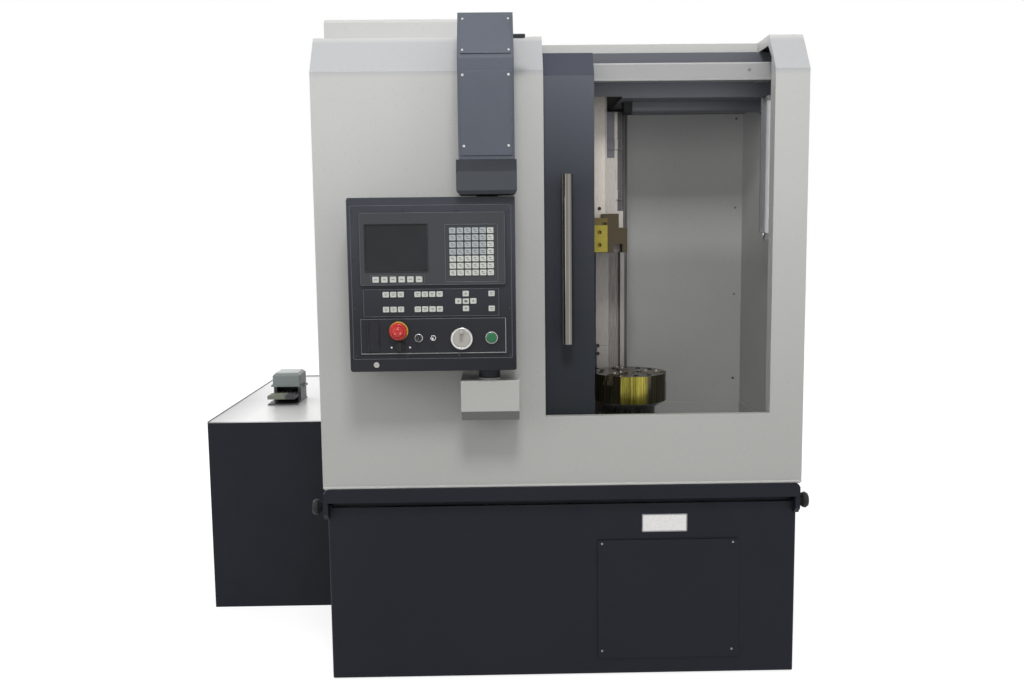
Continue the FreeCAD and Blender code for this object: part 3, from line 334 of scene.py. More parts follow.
GREY_KEYS = coated("grey_key_plastic", (0.36, 0.39, 0.395), rough=0.45, texture=0.2, grain=1800,
                   edge=(0.45, 0.49, 0.53), variation=0.04, edge_radius=0.0006)
LEGEND = coated("key_legend", (0.10, 0.11, 0.13), rough=0.5, texture=0.1, grain=1500,
                edge=(0.16, 0.17, 0.19), variation=0.05)
RED = coated("red_plastic", (0.50, 0.016, 0.013), rough=0.25, texture=0.1, grain=1200,
             edge=(0.75, 0.14, 0.10), variation=0.06, edge_radius=0.001)
RED_MARK = coated("red_mark", (0.66, 0.25, 0.22), rough=0.35, texture=0.1, grain=1200,
                  edge=(0.80, 0.45, 0.42), variation=0.06, edge_radius=0.001)
GREEN = coated("green_plastic", (0.008, 0.13, 0.045), rough=0.25, texture=0.1, grain=1200,
               edge=(0.06, 0.32, 0.16), variation=0.06, edge_radius=0.001)
YELLOW = coated("yellow_plastic", (0.62, 0.38, 0.05), rough=0.4, texture=0.1, grain=1200,
                edge=(0.75, 0.50, 0.12), variation=0.06)
CREAM = coated("dial_cream", (0.42, 0.405, 0.365), rough=0.4, texture=0.15, grain=1500,
               edge=(0.55, 0.53, 0.49), variation=0.06)
BLACK = coated("black_plastic", (0.014, 0.014, 0.017), rough=0.36, texture=0.25, grain=1500,
               edge=(0.07, 0.07, 0.075), variation=0.12, edge_radius=0.0008, spec=0.3)
# Painted shade: the tread's right part beyond x -324 is near black.
PEDAL = coated("pedal_paint", (0.165, 0.175, 0.135), rough=0.5, texture=0.3, grain=900,
               edge=(0.28, 0.29, 0.23), variation=0.1,
              zones=[((("X", -336, -324),), (0.040, 0.040, 0.048))])
MOTOR = coated("motor_black", (0.012, 0.012, 0.014), rough=0.5, texture=0.4, grain=500,
               edge=(0.07, 0.07, 0.07), variation=0.12, spec=0.3)
RUBBER = coated("rubber_black", (0.018, 0.018, 0.018), rough=0.75, texture=0.5, grain=700,
                edge=(0.05, 0.05, 0.05), variation=0.15, spec=0.3)
PANE = glassy("pane", (0.012, 0.014, 0.018), 0.94, 0.06)
LAMP = glassy("lamp_glass", (0.76, 0.77, 0.78), 0.95, 0.22)
SCREEN = glassy("control_glass", (0.014, 0.017, 0.018), 1.0, 0.12, coat=0.0, spec=0.3)
# Painted light and shade: the hood's top above z 849 is lighter, and the lower part below z 783
# and the right side beyond x -282 above z 800 are darker.
SWITCH = coated("switch_paint", (0.21, 0.24, 0.235), rough=0.42, texture=0.3, grain=500,
                edge=(0.36, 0.39, 0.38), variation=0.08,
                zones=[((("Z", 789, 783),), (0.045, 0.045, 0.052)),
                       ((("Z", 846, 849),), (0.42, 0.44, 0.435)),
                       ((("X", -284, -282), ("Z", 786, 800)), (0.07, 0.072, 0.075))])
# Painted reflection and shade: the lid's pale tone stands in part for the bright reflection on its
# glossy top, and the darker front-left corner is painted shade.
LID = coated("lid_paint", (0.68, 0.68, 0.675), rough=0.34, texture=0.05, grain=700,
             edge=(0.30, 0.30, 0.29), variation=0.03, spec=1.0, coat=1.0, coat_rough=0.28,
             zones=[((("X", -400, -540), ("Y", 1700, 1100)), (0.22, 0.215, 0.22)),
                    ((("X", -540, -543),), (0.10, 0.10, 0.10)),
                    ((("Y", 1819, 1822),), (0.10, 0.10, 0.10))])
GREY = coated("grey_moulding", (0.24, 0.24, 0.25), rough=0.45, texture=0.2, grain=900,
              edge=(0.38, 0.38, 0.39), variation=0.07)

SLOTS = {
    "housing_paint": HOUSING, "base_paint": BASE, "door_paint": DOOR, "arm_paint": ARM,
    "inner_sheet": LINER, "cast_paint": CAST, "ground_steel": STEEL, "chromed": CHROME,
    "pane": PANE, "lamp_glass": LAMP, "panel_plastic": PLASTIC, "unit_plastic": UNIT,
    "key_plastic": KEYS, "red_plastic": RED, "green_plastic": GREEN,
    "black_plastic": BLACK, "pedal_paint": PEDAL, "motor_black": MOTOR,
    "rubber_black": RUBBER, "control_glass": SCREEN, "lid_paint": LID,
    "switch_paint": SWITCH, "oiled_steel": OILED,
}

REPAINTED = {
    "door_rail": RAIL_PAINT,
    "ceiling_panel": CEILING, "arm_head": HEAD, "x_slide": PLATE, "z_saddle": SADDLE,
    "column": COLUMN, "z_rails": RAIL, "rail_stops": RAIL, "chuck_body": CHUCK,
    "headstock": NECK, "lamp_holders": GREY,
    "chuck_jaw_1": JAW, "chuck_jaw_2": JAW, "chuck_jaw_3": JAW,
    "key_switch": BLACKENED, "port_cover": PLASTIC, "lower_bracket": BRACKET,
}


def paint_cad_nodes():
    """Gives every node of the frame the material of its slot."""
    for part in frame["record"]["subparts"]:
        name = part["node"]
        repaint(name, REPAINTED.get(name, SLOTS[part["material_slot"]]))


def repaint(name, material):
    mesh = frame["nodes"][name].data
    mesh.materials.clear()
    mesh.materials.append(material)


# ---------------------------------------------------------------- mesh pieces

def piece(name, bm, material, body, smooth=False):
    """Turns a bmesh in drawn millimetres into an object that rides on a body."""
    for vertex in bm.verts:
        vertex.co = place(*vertex.co)
    bmesh.ops.recalc_face_normals(bm, faces=bm.faces)
    mesh = bpy.data.meshes.new(name)
    bm.to_mesh(mesh)
    bm.free()
    mesh.materials.append(material)
    if smooth:
        mesh.polygons.foreach_set("use_smooth", [True] * len(mesh.polygons))
    thing = bpy.data.objects.new(name, mesh)
    bpy.context.scene.collection.objects.link(thing)
    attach(thing, body)
    return thing


def basis(axis):
    """Rotation that takes local +Z to an axis and keeps local +X level where it can."""
    axis = Vector(axis).normalized()
    side = Vector((0, 0, 1)).cross(axis)
    if side.length < 1e-6:
        side = Vector((1, 0, 0))
    side.normalize()
    up = axis.cross(side)
    return Matrix((side, up, axis)).transposed()


FRONT = (0, -1, 0)
UP = (0, 0, 1)


def join_rings(bm, rings):
    """Walls between each ring of vertices and the next one."""
    for low, high in zip(rings, rings[1:]):
        count = len(low)
        for i in range(count):
            bm.faces.new((low[i], low[(i + 1) % count], high[(i + 1) % count], high[i]))


def add_slab(bm, near, far):
    """Solid between two outlines that have the same number of points."""
    near = [bm.verts.new(point) for point in near]
    far = [bm.verts.new(point) for point in far]
    join_rings(bm, [near, far])
    bm.faces.new(near[::-1])
    bm.faces.new(far)


def add_turned(bm, centre, axis, outline, count=32, caps=True):
    """Solid of revolution from (radius, height) points along an axis."""
    turn = basis(axis)
    centre = Vector(centre)
    rings = []
    for radius, height in outline:
        ring = []
        for i in range(count):
            angle = 2 * math.pi * i / count
            point = Vector((radius * math.cos(angle), radius * math.sin(angle), height))
            ring.append(bm.verts.new(centre + turn @ point))
        rings.append(ring)
    join_rings(bm, rings)
    if caps:
        bm.faces.new(rings[0][::-1])
        bm.faces.new(rings[-1])


def rounded_outline(width, height, radius, steps=4):
    """Points of a rounded rectangle about the origin."""
    points = []
    corners = ((1, 1, 0), (-1, 1, 90), (-1, -1, 180), (1, -1, 270))
    for sx, sy, start in corners:
        cx = sx * (width / 2 - radius)
        cy = sy * (height / 2 - radius)
        for i in range(steps + 1):
            angle = math.radians(start + 90 * i / steps)
            points.append((cx + radius * math.cos(angle), cy + radius * math.sin(angle)))
    return points


def add_cushion(bm, centre, axis, size, radius, rise, edge=0.8, dish=0.0):
    """Rounded block that stands on a face: its edge is bevelled and its top may be dished."""
    turn = basis(axis)
    centre = Vector(centre)
    layers = ((0.0, 0.0), (0.0, rise - edge), (edge * 0.3, rise - edge * 0.3), (edge, rise))
    rings = []
    for inset, height in layers:
        outline = rounded_outline(size[0] - 2 * inset, size[1] - 2 * inset,
                                  max(radius - inset, 0.05))
        rings.append([bm.verts.new(centre + turn @ Vector((x, y, height)))
                      for x, y in outline])
    join_rings(bm, rings)
    if dish:
        middle = bm.verts.new(centre + turn @ Vector((0, 0, rise - dish)))
        top = rings[-1]
        for i in range(len(top)):
            bm.faces.new((top[i], top[(i + 1) % len(top)], middle))
    else:
        bm.faces.new(rings[-1])
    bm.faces.new(rings[0][::-1])


def add_bar(bm, low, high, bevel=0.6):
    """Box between two corners with bevelled edges."""
    verts = []
    for z in (low[2], high[2]):
        for x, y in ((low[0], low[1]), (high[0], low[1]), (high[0], high[1]), (low[0], high[1])):
            verts.append(bm.verts.new((x, y, z)))
    quads = ((0, 3, 2, 1), (4, 5, 6, 7), (0, 1, 5, 4), (1, 2, 6, 5), (2, 3, 7, 6), (3, 0, 4, 7))
    faces = [bm.faces.new([verts[i] for i in quad]) for quad in quads]
    edges = {edge for face in faces for edge in face.edges}
    bmesh.ops.bevel(bm, geom=list(edges), offset=bevel, segments=2, affect="EDGES",
                    profile=0.5, clamp_overlap=True)


def add_prism(bm, outline, x0, x1):
    """Solid between two X planes over a (y, z) outline."""
    add_slab(bm, [(x0, y, z) for y, z in outline], [(x1, y, z) for y, z in outline])


def add_border(bm, centre, axis, size, width, rise, radius=3.0):
    """Thin raised frame round a rectangle."""
    turn = basis(axis)
    centre = Vector(centre)
    layers = ((0.0, 0.0), (0.0, rise * 0.7), (width * 0.25, rise), (width * 0.75, rise),
              (width, rise * 0.7), (width, 0.0))
    rings = []
    for inset, height in layers:
        outline = rounded_outline(size[0] - 2 * inset, size[1] - 2 * inset,
                                  max(radius - inset, 0.3), 3)
        rings.append([bm.verts.new(centre + turn @ Vector((x, y, height)))
                      for x, y in outline])
    join_rings(bm, rings + rings[:1])


def ring(name, centre, axis, outer, inner, rise, material, body, count=48):
    """Flat ring with a chamfered outer edge."""
    bm = bmesh.new()
    add_turned(bm, centre, axis, [(inner, 0.0), (outer, 0.0), (outer, rise * 0.6),
                                  (outer - rise * 0.4, rise), (inner, rise), (inner, 0.0)],
               count, caps=False)
    bmesh.ops.remove_doubles(bm, verts=bm.verts, dist=0.001)
    return piece(name, bm, material, body)


def border(name, x0, x1, z0, z1, y, width, rise, material, body, radius=3.0):
    bm = bmesh.new()
    add_border(bm, ((x0 + x1) / 2, y, (z0 + z1) / 2), FRONT, (x1 - x0, z1 - z0), width, rise,
               radius)
    return piece(name, bm, material, body)


# ---------------------------------------------------------------- fasteners

def add_cap_screw(bm, centre, axis, radius=6.0, height=5.0, count=28):
    """Socket-head cap screw: chamfered head with a hexagonal recess."""
    socket = radius * 0.52
    turn = basis(axis)
    centre = Vector(centre)
    outline = [(radius, 0.0), (radius, height * 0.78), (radius * 0.9, height)]
    rings = []
    for ring_radius, ring_height in outline:
        rings.append([bm.verts.new(centre + turn @ Vector((
            ring_radius * math.cos(2 * math.pi * i / count),
            ring_radius * math.sin(2 * math.pi * i / count), ring_height)))
            for i in range(count)])
    for depth in (height, height * 0.35):
        ring = []
        for i in range(count):
            angle = 2 * math.pi * i / count
            sixth = (angle + math.pi / 6) % (math.pi / 3) - math.pi / 6
            reach = socket * math.cos(math.pi / 6) / math.cos(sixth)
            ring.append(bm.verts.new(centre + turn @ Vector((
                reach * math.cos(angle), reach * math.sin(angle), depth))))
        rings.append(ring)
    join_rings(bm, rings)
    bm.faces.new(rings[-1])
    bm.faces.new(rings[0][::-1])


def add_pan_screw(bm, centre, axis, radius=5.0, height=2.6, count=24):
    """Low domed screw head with a sunk centre."""
    add_turned(bm, centre, axis, [
        (radius, 0.0), (radius * 0.97, height * 0.35), (radius * 0.8, height * 0.75),
        (radius * 0.5, height), (radius * 0.34, height * 0.98), (radius * 0.26, height * 0.45)],
        count)


def screws(name, places, axis, body, material, radius=6.0, height=5.0, pan=False):
    bm = bmesh.new()
    for centre in places:
        if pan:
            add_pan_screw(bm, centre, axis, radius, height)
        else:
            add_cap_screw(bm, centre, axis, radius, height)
    return piece(name, bm, material, body)


# ---------------------------------------------------------------- base and housing

def base_details():
    cover = [(x, 14, z) for x in (873.3, 1290) for z in (83, 437)]
    screws("cover_screws", cover, FRONT, "machine", GREY_SCREW, 3.6, 2.4)
    bm = bmesh.new()
    add_cushion(bm, (1073, 20, 501), FRONT, (144, 58), 3, 1.6)
    piece("front_plate_bare", bm, SILVER, "machine")
    border("front_plate_rim", 1001, 1145, 472, 530, 18.4, 3.5, 0.8, GREY_SCREW, "machine")
    bm = bmesh.new()
    add_bar(bm, (4, -4.5, 628.5), (1496, 1.5, 636.5), 2.2)
    piece("housing_bead", bm, HOUSING, "machine")


def side_details():
    """Fixings of the side sheets."""
    for tag, x, axis in (("left", 0, (-1, 0, 0)), ("right", 1500, (1, 0, 0))):
        places = [(x, y, z) for y in (140, 960, 1790) for z in (700, 1850)]
        screws(f"{tag}_panel_screws", places, axis, "machine", GREY_SCREW, 5, 2.6, pan=True)
    places = [(x, 1830, z) for x in (40, 750, 1460) for z in (680, 1960)]
    screws("rear_panel_screws", places, (0, 1, 0), "machine", GREY_SCREW, 5, 2.6, pan=True)


def arm_details():
    front = [(462, -193, 1859.5), (590.5, -193, 1860), (463, -193, 1664), (589, -193, 1664.5)]
    screws("arm_front_screws", front, FRONT, "machine", SILVER, 3.6, 2.4)
    slope = Vector((0, 95, 143)).normalized()
    outward = Vector((0, -slope.z, slope.y))
    tilted = []
    for x in (462, 592):
        for up in (25, 143):
            tilted.append(Vector((x, -190, 1907)) + slope * up + outward * 3)
    screws("arm_top_screws", tilted, outward, "machine", SILVER, 3.6, 2.4)
    bm = bmesh.new()
    add_bar(bm, (606, -106, 1977), (641, -92, 1988), 2)
    piece("arm_side_catch", bm, BLACK, "machine")
    bm = bmesh.new()
    add_turned(bm, (526, -100, 1524.5), UP, [(30, 0), (33, 1.2), (33, 3.4), (30, 5)], 40)
    piece("upper_pivot_washer", bm, BLACK, "machine")


def chamber_details():
    wall = [(1436, 639, z) for z in (869, 1186, 1505, 1829)]
    screws("chamber_wall_screws", wall, FRONT, "machine", GREY_SCREW, 4.4, 2.6)
    screws("rail_screw", [(1345, 112, 1918)], FRONT, "machine", GREY_SCREW, 5, 3)
    bm = bmesh.new()
    add_bar(bm, (101, 109.6, 1885.2), (1439, 113, 1892), 1.2)
    piece("rail_lower_edge", bm, RAIL_PAINT, "machine")
    bm = bmesh.new()
    outline = [(285, 1846), (285, 1826), (291, 1816), (302, 1811), (313, 1811), (324, 1816),
               (330, 1826), (330, 1846)]
    add_prism(bm, outline, 1002, 1456)
    piece("ceiling_beam", bm, CEILING, "machine")
    bm = bmesh.new()
    cap = [(281, 1846), (281, 1822), (290, 1811), (302, 1806), (314, 1806), (326, 1811),
           (335, 1822), (335, 1846)]
    add_prism(bm, cap, 976, 1004)
    add_prism(bm, cap, 1436, 1461)
    piece("ceiling_beam_ends", bm, MOTOR, "machine")
    bm = bmesh.new()
    add_bar(bm, (988.5, 476.2, 632), (1003.5, 481, 1826), 1.0)
    piece("column_strip", bm, STRIP, "machine")
    bm = bmesh.new()
    add_bar(bm, (1408, 160, 1399), (1436, 180, 1413), 2)
    add_bar(bm, (1410, 158, 1404.5), (1434, 161, 1407.5), 0.8)
    piece("lamp_clip", bm, SILVER, "machine")
    bm = bmesh.new()
    add_bar(bm, (1403, 184, 1413), (1444, 189, 1842), 1.2)
    add_bar(bm, (1403, 176, 1413), (1405.5, 186, 1842), 0.8)
    piece("lamp_reflector", bm, GREY, "machine")
    bm = bmesh.new()
    add_bar(bm, (1440.8, 113, 1884), (1443.2, 192, 1984), 0.6)
    add_bar(bm, (1442.5, 189.6, 1884), (1461, 192, 1984), 0.6)
    piece("rail_end_plate", bm, RAIL_PAINT, "machine")
    screws("stop_screws", [(904, 428, z) for z in (994, 1021.5)]
           + [(650, 428, z) for z in (994, 1021.5)], FRONT, "machine", BLACKENED, 6.5, 3)


# ---------------------------------------------------------------- console

# Front faces of the console, its plates and its unit, and where the marks on their keys lie
CONSOLE_Y, PLATE_Y, LOWER_PLATE_Y, KEYPAD_Y, UNIT_Y = -174, -177, -178, -182, -184
PLATE_MARK_Y, KEYPAD_MARK_Y, SOFT_MARK_Y = -179.2, -185.2, -186.2
MARK_RISE, MARK_DEPTH = 0.25, 0.2
ESTOP = (265.7, LOWER_PLATE_Y, 1142)
START = (533.5, LOWER_PLATE_Y, 1120)
KEY_SWITCH = (323, LOWER_PLATE_Y, 1121.5)
TOGGLE = (365, LOWER_PLATE_Y, 1121)
SELECTOR = (270, LOWER_PLATE_Y, 1098)
TICKS = 50


def key_block(bm, x, z, width, height, y, rise):
    """One key cap with a softened, slightly dished top."""
    add_cushion(bm, (x, y, z), FRONT, (width, height), 2.2, rise, edge=0.9, dish=0.35)


def add_mark(bm, x, z, y, width, height):
    """Thin raised mark on a key."""
    add_bar(bm, (x - width / 2, y - MARK_RISE, z - height / 2),
            (x + width / 2, y + MARK_DEPTH, z + height / 2), 0.08)


def add_arrow(bm, x, z, y, dx, dz):
    """Small solid triangle that points along (dx, dz)."""
    tips = [(x + 3.6 * dx, z + 3.6 * dz), (x - 2.2 * dx + 3.2 * dz, z - 2.2 * dz + 3.2 * dx),
            (x - 2.2 * dx - 3.2 * dz, z - 2.2 * dz - 3.2 * dx)]
    add_slab(bm, [(px, y - MARK_RISE, pz) for px, pz in tips],
             [(px, y + MARK_DEPTH, pz) for px, pz in tips])


def console_keys():
    """Key caps in place of the plain ones: light ones and the blue-grey letter field."""
    light, blue, marks = bmesh.new(), bmesh.new(), bmesh.new()
    for column in range(6):
        for row in range(7):
            x, z = 425.7 + column * 21.6, 1428.3 - row * 20.0
            key_block(blue if column < 5 and row < 4 else light, x, z, 18.5, 16.5, KEYPAD_Y, 3.5)
            add_mark(marks, x - 1.5, z + 2.2, KEYPAD_MARK_Y, 6.5, 2.2)
            add_mark(marks, x + 1.5, z - 2.8, KEYPAD_MARK_Y, 4.5 + (row * 5 + column * 3) % 4, 1.6)
    for i in range(6):
        key_block(light, 204.3 + i * 24.8, 1291, 18.5, 17, UNIT_Y, 2.5)
        add_mark(marks, 204.3 + i * 24.8, 1291, SOFT_MARK_Y, 8, 1.8)
    pairs = [231.1 + i * 21.5 for i in range(3)] + [322.3 + i * 21.1 for i in range(4)] + [535]
    for x in pairs:
        for z in (1247.5, 1204.5):
            key_block(light, x, z, 18, 16, PLATE_Y, 2.5)
            add_mark(marks, x, z + 2.0, PLATE_MARK_Y, 9, 1.6)
            add_mark(marks, x, z - 2.2, PLATE_MARK_Y, 5, 1.6)
    for dx, dz in ((0, 1), (0, -1), (-1, 0), (1, 0)):
        x, z = 460.8 + 21.7 * dx, 1226.6 + 21.3 * dz
        key_block(light, x, z, 18, 16, PLATE_Y, 2.5)
        add_arrow(marks, x, z, PLATE_MARK_Y, dx, dz)
    key_block(light, 460.8, 1226, 18, 16, PLATE_Y, 2.5)
    add_mark(marks, 460.8, 1226, PLATE_MARK_Y, 8, 6)
    caps = piece("key_caps_light", light, KEYS, "console")
    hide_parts("console_keys")
    piece("key_caps_blue", blue, GREY_KEYS, "console")
    piece("key_marks", marks, LEGEND, "console")


def console_details():
    border("console_inner_line", 133, 594, 1060, 1502, CONSOLE_Y, 1.6, 0.8, TRIM, "console", 5)
    border("screen_surround", 173, 356, 1310.5, 1450.5, UNIT_Y, 3.4, 0.9, BLACK, "console", 4)
    border("keypad_surround", 403.5, 555, 1281.5, 1446.5, UNIT_Y, 1.8, 0.6, TRIM, "console", 3)
    border("soft_key_surround", 188.5, 344, 1278.5, 1303.5, UNIT_Y, 1.0, 0.4, TRIM, "console", 3)
    border("unit_edge", 160.5, 575.1, 1274.5, 1480.5, UNIT_Y, 1.4, 0.5, TRIM, "console", 6)
    border("upper_plate_edge", 166.3, 556.7, 1183.3, 1262.7, PLATE_Y, 1.4, 0.5, TRIM, "console", 2)
    bm = bmesh.new()
    add_bar(bm, (156.5, -179.2, 1075.2), (575.5, -177.5, 1077.8), 0.6)
    add_bar(bm, (573.2, -179.2, 1077.8), (575.8, -177.5, 1177.5), 0.6)
    piece("lower_plate_lip", bm, GREY, "console")
    bm = bmesh.new()
    add_bar(bm, (156.2, -178.8, 1077.8), (158.2, -177.5, 1177.5), 0.5)
    add_bar(bm, (156.2, -178.8, 1175.8), (573.2, -177.5, 1177.8), 0.5)
    piece("lower_plate_edge", bm, TRIM, "console")
    spots = [(138, 1487), (286, 1485.5), (437, 1484), (586.5, 1482), (139.5, 1348), (141, 1207),
             (143, 1071), (588, 1348), (587, 1205), (587.5, 1068), (290.5, 1071), (439.5, 1070)]
    screws("console_front_screws", [(x, CONSOLE_Y, z) for x, z in spots], FRONT, "console",
           BLACKENED, 3.6, 1.6)
    screws("selector_screws", [(x, LOWER_PLATE_Y, z) for x, z in
                                ((244.6, 1094.7), (297.4, 1094.2))], FRONT, "console",
           SILVER, 3.0, 1.2, pan=True)


def estop_details():
    """Mushroom head with a raised disc and three arrows, over a yellow ring."""
    ring("estop_ring", ESTOP, FRONT, 27.5, 13, 1.0, YELLOW, "console")
    bm = bmesh.new()
    add_turned(bm, ESTOP, FRONT, [
        (11, -20), (11, 8), (21, 11), (24.6, 14), (25.6, 17.5), (25.2, 21), (23.4, 24),
        (20.5, 26), (19.6, 25.8), (19.2, 25.0), (17.6, 25.0), (17, 26.4), (15.5, 29.4),
        (12.5, 30.6), (6, 31)], 48)
    head = piece("estop_head", bm, RED, "estop", smooth=True)
    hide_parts("estop_button")
    bm = bmesh.new()
    for turn in range(3):
        angle = math.radians(90 + 120 * turn)
        across = Vector((math.cos(angle), 0, math.sin(angle)))
        along = Vector((-across.z, 0, across.x))
        middle = Vector(ESTOP) - Vector((0, 30.6, 0)) + across * 8.5
        corners = [middle + along * a + across * b for a, b in ((4, -1.6), (0, 3.4), (-4, -1.6))]
        add_slab(bm, [c + Vector((0, -0.7, 0)) for c in corners],
                 [c + Vector((0, 1.0, 0)) for c in corners])
    piece("estop_arrows", bm, RED_MARK, "estop")


def small_controls():
    """Bezels of the small controls, start cap, bow of the key and bat of the toggle."""
    ring("start_bezel", START, FRONT, 17.8, 15.9, 5.0, SILVER, "console")
    bm = bmesh.new()
    add_turned(bm, START, FRONT, [
        (11, -20), (11, 4.2), (15.2, 4.2), (15.4, 5), (15.4, 8.6), (14.6, 10.2), (12.5, 11.4),
        (8, 12.0)], 40)
    cap = piece("start_cap", bm, GREEN, "start", smooth=True)
    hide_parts("start_button")
    ring("key_bezel", KEY_SWITCH, FRONT, 12.2, 9.9, 3.4, SILVER, "console")
    bm = bmesh.new()
    add_turned(bm, (321, -202.4, 1121.5), (1, 0, 0), [(7.4, 0), (9.2, 0.8), (9.2, 3.2), (7.4, 4)],
               28)
    piece("key_bow", bm, SILVER, "key")
    ring("toggle_bezel", TOGGLE, FRONT, 9.2, 6.2, 3.2, SILVER, "console", 6)
    ring("selector_bezel", SELECTOR, FRONT, 16.4, 13.3, 2.4, BLACK, "console")
    bm = bmesh.new()
    add_turned(bm, TOGGLE, FRONT, [
        (3.6, -5), (2.6, 9), (2.9, 18), (3.5, 24), (3.4, 26.4), (2.4, 27.8), (1.0, 28)], 24)
    bat = piece("toggle_bat", bm, SILVER, "toggle", smooth=True)
    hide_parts("toggle_lever")


def handwheel_details():
    """Pulse wheel: dark base, bright rim with ticks, pale face and a knob."""
    x, z = 447.5, 1119.0
    ring("wheel_base", (x, LOWER_PLATE_Y, z), FRONT, 35.5, 9.4, 0.35, BLACK, "console")
    bm = bmesh.new()
    add_turned(bm, (x, LOWER_PLATE_Y, z), FRONT, [
        (9, -20), (9, 0.4), (30.6, 0.4), (32, 1.6), (32, 10.4), (31.2, 12.4), (29.4, 13.6),
        (27.0, 13.8), (25.4, 12.6), (24.8, 11.2), (24.8, 10.4)], 64)
    rim = piece("wheel_rim", bm, SILVER, "pulse_wheel")
    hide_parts("handwheel")
    bm = bmesh.new()
    add_turned(bm, (x, -188.2, z), FRONT, [(24.7, 0), (24.7, 1.6), (23.9, 2.2), (10, 2.6)], 56)
    piece("wheel_face", bm, CREAM, "pulse_wheel")
    bm = bmesh.new()
    for i in range(TICKS):
        angle = 2 * math.pi * i / TICKS
        across = Vector((math.cos(angle), 0, math.sin(angle)))
        along = Vector((-across.z, 0, across.x)) * 0.28
        inner = 27.2 if i % 5 else 25.9
        corners = [across * inner - along, across * 29.2 - along, across * 29.2 + along,
                   across * inner + along]
        middle = Vector((x, 0, z))
        add_slab(bm, [middle + c + Vector((0, -191.95, 0)) for c in corners],
                 [middle + c + Vector((0, -191.0, 0)) for c in corners])
    piece("wheel_ticks", bm, LEGEND, "pulse_wheel")
    bm = bmesh.new()
    add_turned(bm, (x, -190, z + 20), FRONT, [
        (3, 0), (3, 1.6), (5, 2.2), (5.8, 4.5), (5.4, 12), (6, 18), (5.4, 21), (3, 22)], 28)
    piece("wheel_knob", bm, CREAM, "pulse_wheel", smooth=True)


def port_details():
    bm = bmesh.new()
    add_bar(bm, (201.5, -184.4, 1112), (206, -181.5, 1140), 1.0)
    for z in (1088, 1164):
        add_turned(bm, (178, -181.5, z - 4), UP, [
            (3.4, 0), (3.6, 0.6), (3.6, 7.4), (3.4, 8)], 20)
    piece("port_pull", bm, BLACK, "port_flap")


def pedal_details():
    """Edging of the lid, ribs on the tread and its tongue, and screws of the foot switch."""
    bm = bmesh.new()
    add_bar(bm, (-549, 650, 723.6), (-545.5, 1829, 726), 0.7)
    add_bar(bm, (-545.5, 1824, 723.6), (-60, 1829, 727), 0.7)
    piece("lid_edging", bm, BLACK, "machine")
    bm = bmesh.new()
    for i in range(6):
        y = 998 + i * 11
        add_bar(bm, (-396, y, 763.2), (-296, y + 5, 766.2), 0.9)
    piece("pedal_ribs", bm, PEDAL, "pedal")
    bm = bmesh.new()
    for i in range(5):
        x = -376 + i * 17
        add_bar(bm, (x, 1068, 763.4), (x + 7, 1104, 768), 1.2)
    piece("pedal_tongue_ribs", bm, RUBBER, "pedal")
    screws("switch_lug_screws", [(x, y, 790.8) for x in (-407, -275.5) for y in (1124, 1151)],
           UP, "machine", GREY_SCREW, 4.0, 3)


# ---------------------------------------------------------------- mechanism

SPINDLE_X, SPINDLE_Y = 998, 302


def slide_details():
    screws("plate_screws", [(900, 330, 1499), (775, 330, 1499)], FRONT, "cross_slide",
           BLACKENED, 6, 1.6)
    screws("block_screws", [(865, 236, 1372), (865, 236, 1452)], FRONT, "tool_turret",
           BLACKENED, 6, 3)


def chuck_details():
    """Screws on the chuck's face and on the jaws, and a cover in its centre."""
    centre = Vector((SPINDLE_X, SPINDLE_Y, 0))
    spots = []
    for middle in (50, 170, 290):
        for side in (-14, 14):
            angle = math.radians(middle + side)
            spots.append(centre + Vector((96 * math.cos(angle), 96 * math.sin(angle), 945.6)))
    screws("chuck_face_screws", spots, UP, "chuck", BLACKENED, 8, 2.4)
    bm = bmesh.new()
    add_turned(bm, (SPINDLE_X, SPINDLE_Y, 945.8), UP, [
        (23, 0), (23, 1.4), (21.5, 2.4), (9, 2.4), (7.5, 1.0)], 48)
    piece("chuck_centre_cover", bm, JAW, "chuck")
    for number, degrees in ((1, -10), (2, 110), (3, 230)):
        angle = math.radians(degrees)
        out = Vector((math.cos(angle), math.sin(angle), 0))
        places = [centre + out * reach + Vector((0, 0, 949.8)) for reach in (55, 91)]
        screws(f"jaw_{number}_screws", places, UP, f"jaw_{number}", SILVER, 6.5, 4)


# ---------------------------------------------------------------- studio and camera

FLOOR_REACH = 12
FLOOR_GLOW = 0.80
CAMERA_PLACE = (552.46, -2948.34, 1415.69)
CAMERA_LENS = 33.866


def seen_directly(nodes, links):
    """1 for rays of the camera, of reflections and of transmission, else 0."""
    path = nodes.new("ShaderNodeLightPath")
    total = path.outputs["Is Camera Ray"]
    for name in ("Is Glossy Ray", "Is Transmission Ray"):
        bigger = nodes.new("ShaderNodeMath")
        bigger.operation = "MAXIMUM"
        links.new(total, bigger.inputs[0])
        links.new(path.outputs[name], bigger.inputs[1])
        total = bigger.outputs["Value"]
    return total


